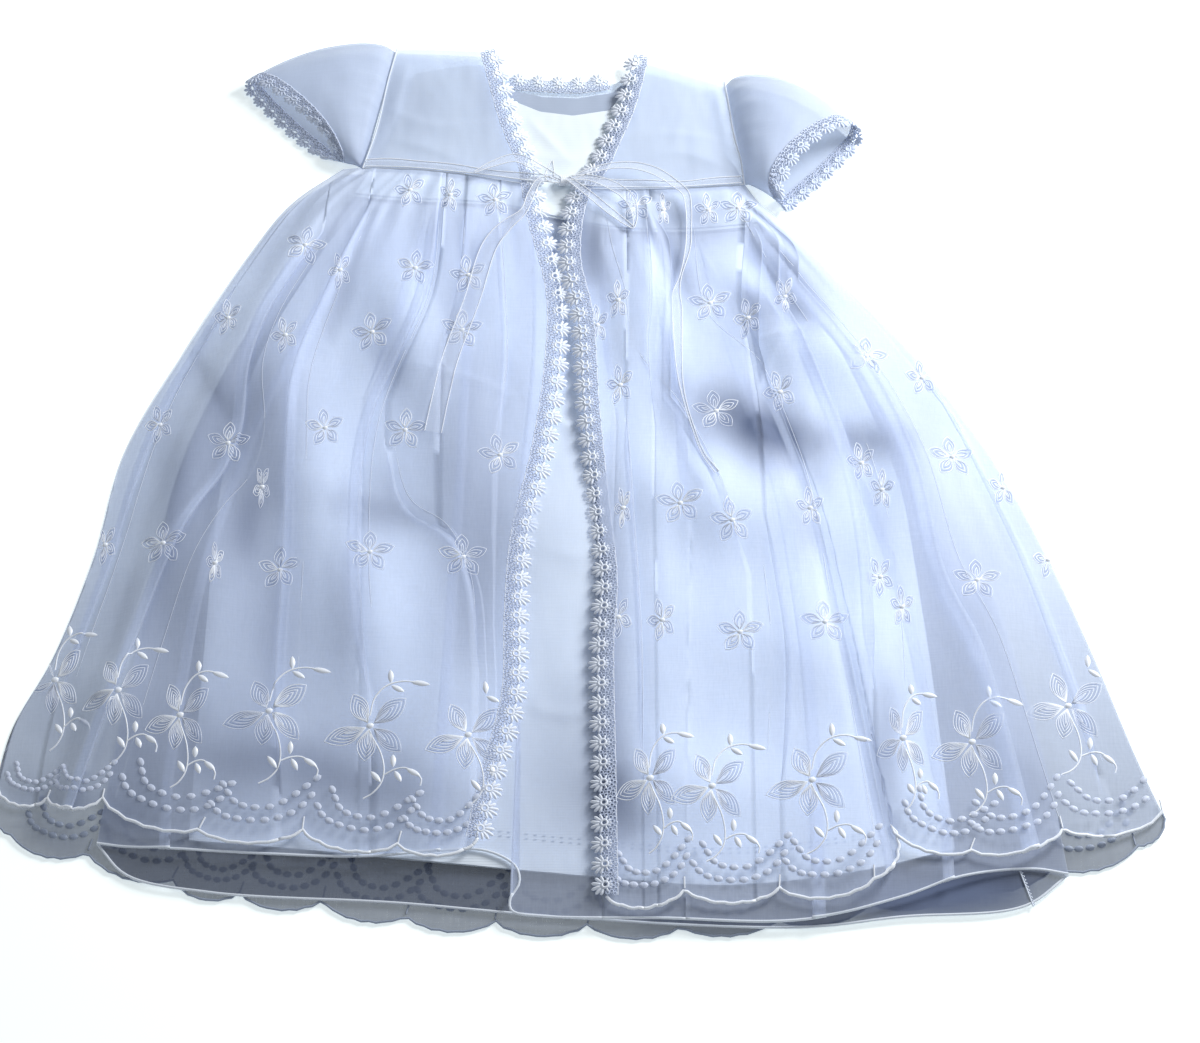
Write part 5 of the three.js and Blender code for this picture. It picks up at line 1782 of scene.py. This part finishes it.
# Small flowers, where the picture shows them.
LEFT_FLOWERS = [
    (410, 190, 10, 0.7), (450, 195, -12, 0.5), (495, 200, 5, 0.8), (305, 245, -15, 0.9), (340, 270, 20, 0.5),
    (415, 268, -10, 0.8), (468, 275, 6, 0.8), (228, 318, 8, 0.6), (285, 335, 18, 0.6), (372, 332, 5, 0.9),
    (462, 330, -5, 0.9), (160, 425, 20, 0.6), (228, 443, -8, 0.9), (325, 428, 5, 0.8), (405, 430, -8, 0.9),
    (500, 455, 12, 0.9), (105, 545, 25, 0.5), (163, 543, 0, 0.95), (215, 563, 8, 0.35), (280, 570, -4, 0.9),
    (370, 552, -4, 1.0), (463, 557, 0, 1.0), (262, 487, 30, 0.35),
]
RIGHT_FLOWERS = [
    (635, 206, 5, 0.8), (663, 210, 0, 0.35), (708, 210, 4, 0.6), (738, 208, -4, 0.9), (597, 325, 4, 0.5),
    (618, 300, 0, 0.5), (710, 303, 3, 0.95), (748, 318, 10, 0.6), (785, 297, 35, 0.5), (620, 385, 8, 0.6),
    (716, 411, 4, 1.0), (780, 392, 20, 0.7), (866, 356, -6, 1.0), (922, 378, 6, 0.7), (623, 508, 18, 0.35),
    (680, 503, 4, 1.0), (732, 520, 6, 0.9), (810, 508, 4, 0.6), (861, 463, 10, 0.6), (882, 490, -10, 0.5),
    (952, 457, 4, 1.0), (1003, 488, 0, 0.6), (662, 620, 15, 0.6), (740, 632, -4, 0.95), (825, 622, 0, 1.0),
    (880, 577, 28, 0.6), (902, 607, 0, 0.5), (977, 580, -4, 1.0), (1048, 560, 10, 0.6), (618, 617, 30, 0.6),
]
# Large flowers of the border.
LEFT_SPRIGS = [
    (55, 680, 6, 0.7), (118, 690, 2, 0.8), (180, 715, 0, 0.75), (269, 711, 0, 1.0), (370, 726, 2, 1.0),
    (468, 735, 4, 0.95),
]
RIGHT_SPRIGS = [
    (650, 778, 4, 0.75), (712, 786, 0, 0.9), (812, 780, 0, 1.0), (903, 738, 4, 0.6), (972, 742, 0, 0.9),
    (1068, 706, -4, 0.95),
]
# A sprig, in millimetres from its flower's centre: tip, width and bend of each petal, lines of its stems,
# and place, angle and length of each leaf.
SPRIG_PETALS = [
    (-10.5, 18, 10, 1.6), (21, 14, 11, -1.8), (-24.5, -10.5, 10.5, 2), (18.4, -15.5, 10, 2), (-4.4, -20.5, 10, -1.2),
]
SPRIG_STEMS = [
    [(0, 6), (2.6, 16), (9.5, 23.5), (19.5, 26), (31, 23.4)],
    [(1.4, -7), (6, -17), (7.6, -27), (6.2, -34), (1.4, -40), (-4, -43)],
    [(7.6, -30), (13, -27.5), (19, -27), (24, -30), (28, -34), (27.5, -38)],
]
SPRIG_LEAVES = [
    (11.7, 29, 92, 8), (15.5, 21.6, -28, 8), (28, 24.4, -12, 11), (3.0, -30.5, 128, 8.5), (12.7, -22, 90, 7.5),
    (15.2, -31.5, -62, 7.5), (23.7, -30, -32, 9),
]
# Dots of one scallop: share of the way between its cusps, and height over the line between them.
INNER_DOTS = [
    (0.21, 25.5), (0.26, 20.8), (0.32, 16), (0.41, 13.3), (0.53, 12.2), (0.67, 12.5), (0.8, 15.7), (0.92, 20.4),
    (1.02, 25), (1.12, 29.8),
]
OUTER_DOTS = [
    (0.1, 14.5), (0.16, 10.2), (0.25, 7.2), (0.36, 5.8), (0.49, 4.9), (0.63, 4.9), (0.76, 6.4), (0.88, 9.2),
    (0.99, 14), (1.07, 19.6),
]


@dataclass
class Embroidery:
    """Satin-stitched flowers, sprigs and dots on one front, and the corded edge. Sizes are in millimetres.

    facing and averted are half the thickness of a petal's bright and shaded thread, where it lies towards
    the light and away from it. leaf, dot, bud and heart are width, height and roundness after any length.
    """

    surface: Surface
    work: Needlework = field(default_factory=Needlework)
    dark: Needlework = field(default_factory=Needlework)
    satin: Needlework = field(default_factory=Needlework)
    cord: Needlework = field(default_factory=Needlework)
    above: float = 0.2
    facing: tuple[float, float] = (0.3, 0.16)
    averted: tuple[float, float] = (0.2, 0.2)
    stem: float = 0.55
    leaf: tuple[float, float, float] = (3.3, 0.8, 0.85)
    dot: tuple[float, float, float] = (3.7, 0.65, 0.5)
    dot_long: float = 5.4
    bud: tuple[float, float, float, float] = (3.6, 2.8, 1.2, 0.5)
    heart: tuple[float, float, float, float] = (4.6, 3.6, 1.3, 0.5)
    stub_cord: float = 0.6

    def petal(self, loops: list[Array], angle: float, row: Figure, middle: Array, bright: bool) -> None:
        """Stitches one petal: bright outlines with the shaded side of the thread between them.

        Args:
            loops: the outlines, with their root at 0.
            angle: way of the petal, anticlockwise from +Y.
            row: the flower's row, with its turn and squeeze.
            middle: the flower's centre.
            bright: whether its thread lies towards the light.
        """
        c, s = math.cos(angle), math.sin(angle)
        for k, loop in enumerate(loops):
            turned = np.stack([loop[:, 0] * c - loop[:, 1] * s, loop[:, 0] * s + loop[:, 1] * c], 1)
            radius = (self.facing if bright else self.averted)[k % 2]
            self.stitch(turned, row, middle, radius, self.dark if k % 2 else self.work, closed=True)

    def stitch(
        self, flat: Array, row: Figure, middle: Array, radius: float, work: Needlework, closed: bool = False
    ) -> None:
        """Stitches a line on the cloth, unless it would run past its edge.

        Args:
            flat: the line's points in millimetres.
            row: the figure's row, with its turn and squeeze.
            middle: where its origin goes.
            radius: half the thread's thickness.
            work: the thread that it is stitched with.
            closed: whether it comes back to its start.
        """
        line = self.lay(flat, middle, row)
        if self.surface.under(line[::4, :2]).all():
            work.thread(line, radius, 4, closed=closed)

    def lay(self, flat: Array, middle: Array, row: Figure) -> Array:
        """Turns, narrows and lays a flat figure on the cloth.

        Args:
            flat: its points in millimetres.
            middle: where its origin goes.
            row: its row, with its turn in degrees and its width against its full width.

        Returns:
            Points on the cloth.
        """
        _, _, turn, squeeze = row
        c, s = math.cos(math.radians(turn)), math.sin(math.radians(turn))
        turned = np.stack([flat[:, 0] * c - flat[:, 1] * s, flat[:, 0] * s + flat[:, 1] * c], 1)
        turned[:, 0] *= squeeze
        places = turned + middle[:2]
        heights = np.minimum(self.surface.heights(places), middle[2] + 3)
        return np.column_stack([places, heights + self.above])

    def flower(self, row: Figure) -> None:
        """Adds a small flower.

        Args:
            row: where it lies, its turn and its squeeze.
        """
        middle = VIEW.on(self.surface, row[0], row[1])
        if middle is None:
            return
        for k, (angle, length, width) in enumerate(SMALL_PETALS):
            loops = petal_loops(length, width, 5, 0.8)
            self.petal(loops, math.radians(-angle), row, middle, (k + int(row[0])) % 3 == 0)
        self.work.leaf(middle + (0, 0, self.above), (1, 0.4, 0), *self.bud)

    def sprig(self, row: Figure) -> None:
        """Adds a large flower with its stems and leaves.

        Args:
            row: where it lies, its turn and its squeeze.
        """
        middle = VIEW.on(self.surface, row[0], row[1])
        if middle is None:
            return
        for k, (x, y, width, bend) in enumerate(SPRIG_PETALS):
            loops = petal_loops(math.hypot(x, y), width, 9, bend)
            self.petal(loops, math.atan2(y, x) - math.pi / 2, row, middle, (k + int(row[0])) % 2 == 0)
        for stem in SPRIG_STEMS:
            self.stitch(smooth_points(stem, 5), row, middle, self.stem, self.work)
        for x, y, angle, length in SPRIG_LEAVES:
            if not self.surface.under(self.lay(np.array([[x, y]]), middle, row)[:, :2]).all():
                continue
            dx, dy = math.cos(math.radians(angle)), math.sin(math.radians(angle))
            ends = self.lay(np.array([[x - dx, y - dy], [x + dx, y + dy]]), middle, row)
            self.work.leaf(ends.mean(0), ends[1] - ends[0], length * (0.55 + row[3] / 2), *self.leaf)
        self.work.leaf(middle + (0, 0, self.above), (1, 0.4, 0), *self.heart)

    def dots(self, cusps: Rows) -> None:
        """Adds both rows of dots over each scallop, and the short cord that rises from each cusp.

        Args:
            cusps: places where two scallops meet.
        """
        width, height, rounded = self.dot
        for a, b in zip(cusps, cusps[1:]):
            a, b = np.array(a, float), np.array(b, float)
            chord = b - a
            wide = np.linalg.norm(chord)
            if wide < 20 or abs(chord[1]) > abs(chord[0]):
                continue
            up = np.array([-chord[1], chord[0]]) / wide
            scale = min(1.0, wide / 45)
            size = scale**0.5
            for row in (INNER_DOTS, OUTER_DOTS):
                spots = np.array([a + chord * share + up * rise * scale for share, rise in row])
                levels = self.surface.heights(spots)
                for spot, way, level, cloth in zip(
                    spots, np.gradient(spots, axis=0), levels, self.surface.under(spots)
                ):
                    if not cloth:
                        continue
                    lean = way / np.linalg.norm(way) * 0.75 + chord / wide * 0.25
                    middle = np.array([*spot, level + self.above - 0.1])
                    self.satin.leaf(middle, (*lean, 0), self.dot_long * size, width * size, height, rounded)
            stub = np.array([b + up * rise + chord / wide * 0.08 * rise for rise in np.linspace(0, 7 * scale, 6)])
            self.cord.thread(np.column_stack([stub, self.surface.heights(stub) + 0.5]), self.stub_cord, 4)

    def edge(self, line: Array, radius: float = 0.95) -> None:
        """Adds the corded edge along the hem."""
        self.cord.thread(line + (0, 0, 0.5), radius, 6, flat=0.9)


# Ribbon


@dataclass
class Sash:
    """Sheer ribbon at the waist with its bow: a veil between two bright selvedges."""

    full_width: float = 10.0

    def strip(
        self, name: str, middle: Array, side: Array, wide: Array, nodes: tuple[str, ...], edge: float = 0.3
    ) -> None:
        """Makes a stretch of ribbon, folded to and fro under itself where it looks narrow.

        Args:
            name: the piece's name.
            middle: points of its middle line.
            side: direction across it at each point.
            wide: its width as seen at each point.
            nodes: the nodes that it stands for.
            edge: half the thickness of its selvedge.
        """
        turns = np.linspace(0, self.full_width, 15) / wide[:, None]
        fold = np.floor(np.minimum(turns, self.full_width / wide[:, None] - 1e-6))
        across = np.where(fold % 2 == 0, turns - fold, 1 - turns + fold) - 0.5
        grid = middle[:, None] + side[:, None] * (wide[:, None] * across)[..., None]
        grid[..., 2] -= 0.16 * np.minimum(turns, 4)
        piece = new_piece(name, grid, grid_faces(*grid.shape[:2]))
        Finish.RIBBON.dress(piece)
        attach(piece, "ribbon", *nodes)
        edges = Needlework()
        for hand in (-0.5, 0.5):
            edges.thread(middle + side * (wide * hand)[:, None] + (0, 0, 0.1), edge, 4)
        selvedge = attach(edges.piece(name + "_selvedge", Finish.RIBBON_EDGE), "ribbon")
        length = float(np.linalg.norm(np.diff(middle, axis=0), axis=1).sum()) * MM

    def laid(self, rows: Rows, surface: Surface) -> tuple[Array, Array, Array]:
        """A ribbon's middle line, sides and widths, over a surface.

        Args:
            rows: picture place, width as seen and height over the cloth at places along it.
            surface: what it lies on.

        Returns:
            Middle line, sides and widths.
        """
        dense = smooth_points([(*VIEW.on(surface, x, y, above, BOW_LEVEL), wide) for x, y, wide, above in rows], 12)
        middle, wide = dense[:, :3], np.maximum(dense[:, 3], 0.8)
        ways = unit(np.gradient(middle[:, :2], axis=0))
        side = np.column_stack([-ways[:, 1], ways[:, 0], np.zeros(len(ways))])
        cloth = surface.heights(middle[:, :2])
        middle[:, 2] = np.maximum(middle[:, 2], np.maximum(cloth, evened(cloth)) + 0.6)
        return middle, side, wide


# The bow bridges the neck opening at this height.
BOW_LEVEL = 14.0
# Ribbon stretches from the knot out: picture place, width as seen in millimetres, height over the cloth.
LEFT_TAIL = [
    (552, 179, 3, 2.4), (540, 180, 3, 2), (531.6, 193, 4, 1.4), (523.5, 211, 4, 1), (505.5, 226, 7.5, 0.9),
    (490, 245, 9, 0.8), (472, 300, 9.3, 0.7), (451, 356, 9.4, 0.6), (442, 391, 9.5, 0.5), (433, 432, 9.8, 0.5),
]
RIGHT_TAIL = [
    (568, 179, 2.4, 3), (576, 176, 2.5, 3), (592.5, 170, 3.5, 3.2), (615, 165.4, 4, 3), (637.5, 166, 5, 2.6),
    (657, 172, 5.4, 2.2), (673.5, 182.5, 5, 2), (685.5, 193, 4.2, 1.6), (688.5, 208, 3.5, 1.2), (689, 226, 3, 1),
    (688, 247, 3, 0.9), (680.5, 277, 1.2, 1.2), (676.5, 292, 4, 1), (677, 307, 5.6, 0.9), (677.5, 331, 5, 0.8),
    (678.6, 358, 4, 0.8), (681, 382, 2.4, 0.8), (685.6, 403, 1.4, 0.8), (693, 427, 1.3, 0.8), (703.6, 454, 1.5, 0.7),
    (717, 472, 2.4, 0.5),
]
LEFT_LOOP = [
    (560, 179, 3, 3), (540, 169, 5.5, 2.4), (516, 158, 5.5, 2), (493.5, 163.6, 4, 1.6), (474.6, 172, 1, 1.2),
]
LEFT_PEAK = [(560, 181, 2.4, 4), (550, 178, 5, 4), (550.5, 170, 4.2, 4), (552, 160.6, 1, 4)]
RIGHT_LOOP = [
    (568, 178, 3, 3), (588, 193, 4, 2.4), (612, 212.5, 4, 1.6), (630, 225.5, 2.4, 1.2), (633, 227.5, 1.2, 1.2),
    (635, 216, 3, 1.4), (629, 198, 6, 1.8), (612, 185.5, 6, 2.4), (588, 177.5, 4, 3), (572, 178, 3, 3.2),
]


# The studio


@dataclass(frozen=True)
class Studio:
    """Pale paper, a key light close by on the upper right, and an even sky."""

    floor_half: float = 3.0
    sky: float = 0.38
    key_place: tuple[float, float, float] = (0.85, 0.6, 0.62)
    key_watts: float = 17.5
    key_size: float = 0.45

    def build(self) -> None:
        """Makes the floor and the lights."""
        half = self.floor_half / MM
        corners = [(-half, -half, -0.05), (half, -half, -0.05), (half, half, -0.05), (-half, half, -0.05)]
        floor = new_piece("floor", np.array(corners), [[0, 1, 2, 3]])
        floor.data.materials.append(Paper("seamless paper, matt", "f6fcfc", 0.45).material())
        floor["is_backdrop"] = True
        world = bpy.data.worlds.new("even sky")
        world.use_nodes = True
        background = world.node_tree.nodes["Background"]
        background.inputs["Color"].default_value = linear("f6faff")
        background.inputs["Strength"].default_value = self.sky
        bpy.context.scene.world = world
        lamp = bpy.data.lights.new("key", "AREA")
        lamp.energy, lamp.size = self.key_watts, self.key_size
        aim("key", lamp, self.key_place, -Vector(self.key_place))
        scene = bpy.context.scene
        scene.view_settings.view_transform = "Standard"
        scene.cycles.transparent_max_bounces = 32


# The gown


@dataclass
class Gown:
    """The whole gown: robe, dress, lace, embroidery and sash."""

    robe: Robe = field(default_factory=Robe)
    dress: Dress = field(default_factory=Dress)

    def build(self) -> None:
        """Builds every piece, from the floor up."""
        self.robe.build_back()
        self.dress.build()
        self.robe.build_front()
        self.robe.seams()
        self.dress.finish_edges()
        self.sleeves()
        self.lace()
        self.embroider()
        self.tie()
        for cloth in [*self.dress.cloths.values(), *self.robe.cloths.values()]:
            cloth.declare()

    def sleeves(self) -> None:
        """Makes the sleeves and the lace at their cuffs."""
        Sleeve("left", LEFT_SLEEVE, -1, (0.17, 0.075), 0.38).build()
        Sleeve("right", RIGHT_SLEEVE, 1, (0.16, 0.06), 0.42).build()

    def lace(self) -> None:
        """Makes the lace along both fronts and round the back neck."""
        left = Edge.smooth(LEFT_NECK_EDGE).joined(Edge.smooth(LEFT_FRONT_EDGE))
        right = Edge.smooth(RIGHT_NECK_EDGE).joined(Edge.smooth(RIGHT_FRONT_EDGE))
        for name, line, petals, node, cloth in (
            ("front_lace_left", left, 1, "lace_front_left", "robe_skirt_left_organza"),
            ("front_lace_right", right, -1, "lace_front_right", "robe_skirt_right_organza"),
            ("back_neck_lace", Edge.smooth(BACK_NECK_LACE), 1, "lace_back_neck", "robe_bodice_back_organza"),
        ):
            lace = DaisyLace()
            lace.strip(line, petals, Surface.of_nodes(node))
            for trim in lace.pieces(name, Finish.LACE, node):
                trim.visible_shadow = name != "front_lace_left"
                self.robe.cloths[cloth].sewn.append(trim)

    def embroider(self) -> None:
        """Embroiders the skirt."""
        for side, flowers, sprigs, cusps in (
            ("left", LEFT_FLOWERS, LEFT_SPRIGS, LEFT_HEM_CUSPS),
            ("right", RIGHT_FLOWERS, RIGHT_SPRIGS, RIGHT_HEM_CUSPS),
        ):
            cloth = self.robe.cloths[f"robe_skirt_{side}_organza"]
            work = Embroidery(cloth.surface())
            for row in flowers:
                work.flower(row)
            for row in sprigs:
                work.sprig(row)
            work.dots(cusps)
            work.edge(cloth.points[-1])
            threads = cloth.sew(work.work, f"embroidery_{side}", Finish.EMBROIDERY)
            lines = cloth.sew(work.dark, f"embroidery_{side}_shaded", Finish.EMBROIDERY_SHADED)
            threads.visible_shadow = lines.visible_shadow = False
            cloth.sew(work.satin, f"satin_dots_{side}", Finish.SATIN_DOTS)
            cloth.sew(work.cord, f"corded_hem_{side}", Finish.CORD)
        back = self.robe.cloths["robe_skirt_back_organza"]
        work = Embroidery(back.surface())
        work.dots(BACK_HEM_CUSPS)
        work.edge(back.points[-1], 0.7)
        back.sew(work.satin, "satin_dots_back", Finish.EMBROIDERY_BACK)
        back.sew(work.cord, "corded_hem_back", Finish.EMBROIDERY_BACK)

    def tie(self) -> None:
        """Lays the ribbon at the waist and ties its bow."""
        robe = self.robe.cloths
        under = [robe[f"robe_{k}_organza"] for k in ("bodice_left", "bodice_right", "skirt_left", "skirt_right")]
        under.append(self.dress.cloths["dress_bodice_front_satin"])
        top = Surface.of_nodes("lace_front_left", "lace_front_right", over=under)
        sash = Sash()
        waist = Edge.smooth(ROBE_WAIST)
        shares = np.linspace(0, 1, 60)
        wide = BELT_WIDTH * (0.68 + 0.1 * np.sin(7 * shares) + 0.06 * np.sin(17 * shares))
        upward = np.tile((0.0, 1.0, 0.0), (60, 1))
        for node, first, last in (
            ("waist_ribbon_left", (-131, 200), (-16, 187)),
            ("waist_ribbon_right", (-6, 186), (96, 189)),
        ):
            places = waist.part(first, last).at(shares) + np.column_stack([np.zeros(60), wide / 2 + 0.6])
            middle = np.column_stack([places, Surface.of_nodes(node).heights(places) - 0.5])
            sash.strip(f"{node}_veil", middle, upward, wide, (node,), 0.34)
        for name, rows in (
            ("bow_tail_left", LEFT_TAIL), ("bow_tail_right", RIGHT_TAIL), ("bow_loop_left", LEFT_LOOP),
            ("bow_peak", LEFT_PEAK), ("bow_loop_right", RIGHT_LOOP),
        ):
            nodes = () if rows is LEFT_PEAK else (name,)
            sash.strip(f"{name}_veil", *sash.laid(rows, top), nodes)
        self.knot()

    def knot(self) -> None:
        """Makes the knot of the bow."""
        low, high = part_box("bow_knot")
        centre = np.array((low + high) / 2) / MM - (*PLAN_SHIFT, 0)
        work = Needlework()
        turns = np.linspace(0, 2 * math.pi, 25)[:-1]
        for k in range(5):
            x = (k - 2) * 1.2
            tall = 2.6 * (1 - 0.06 * k)
            ring = np.column_stack([x + 0.8 * np.sin(turns), tall * np.cos(turns), 2.2 * np.sin(turns)])
            work.thread(centre + ring, 0.8, 5, closed=True)
        attach(work.piece("bow_knot_wrapped", Finish.RIBBON_EDGE), "ribbon", "bow_knot")


def corners() -> list[list[float]]:
    """Lowest and highest corner of what is shown now."""
    return [list(map(float, corner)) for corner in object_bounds()]


def main() -> None:
    """Builds the gown and its studio."""
    logging.basicConfig(level=logging.INFO, format="%(message)s")
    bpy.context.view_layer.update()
    VIEW.camera()
    Studio().build()
    Gown().build()


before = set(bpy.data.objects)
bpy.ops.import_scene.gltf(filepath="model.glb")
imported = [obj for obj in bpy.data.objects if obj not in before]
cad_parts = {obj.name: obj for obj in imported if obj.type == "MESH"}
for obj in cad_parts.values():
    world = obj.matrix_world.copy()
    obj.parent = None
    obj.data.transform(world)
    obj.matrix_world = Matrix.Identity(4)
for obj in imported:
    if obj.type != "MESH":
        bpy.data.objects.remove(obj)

if __name__ == "__main__":
    main()
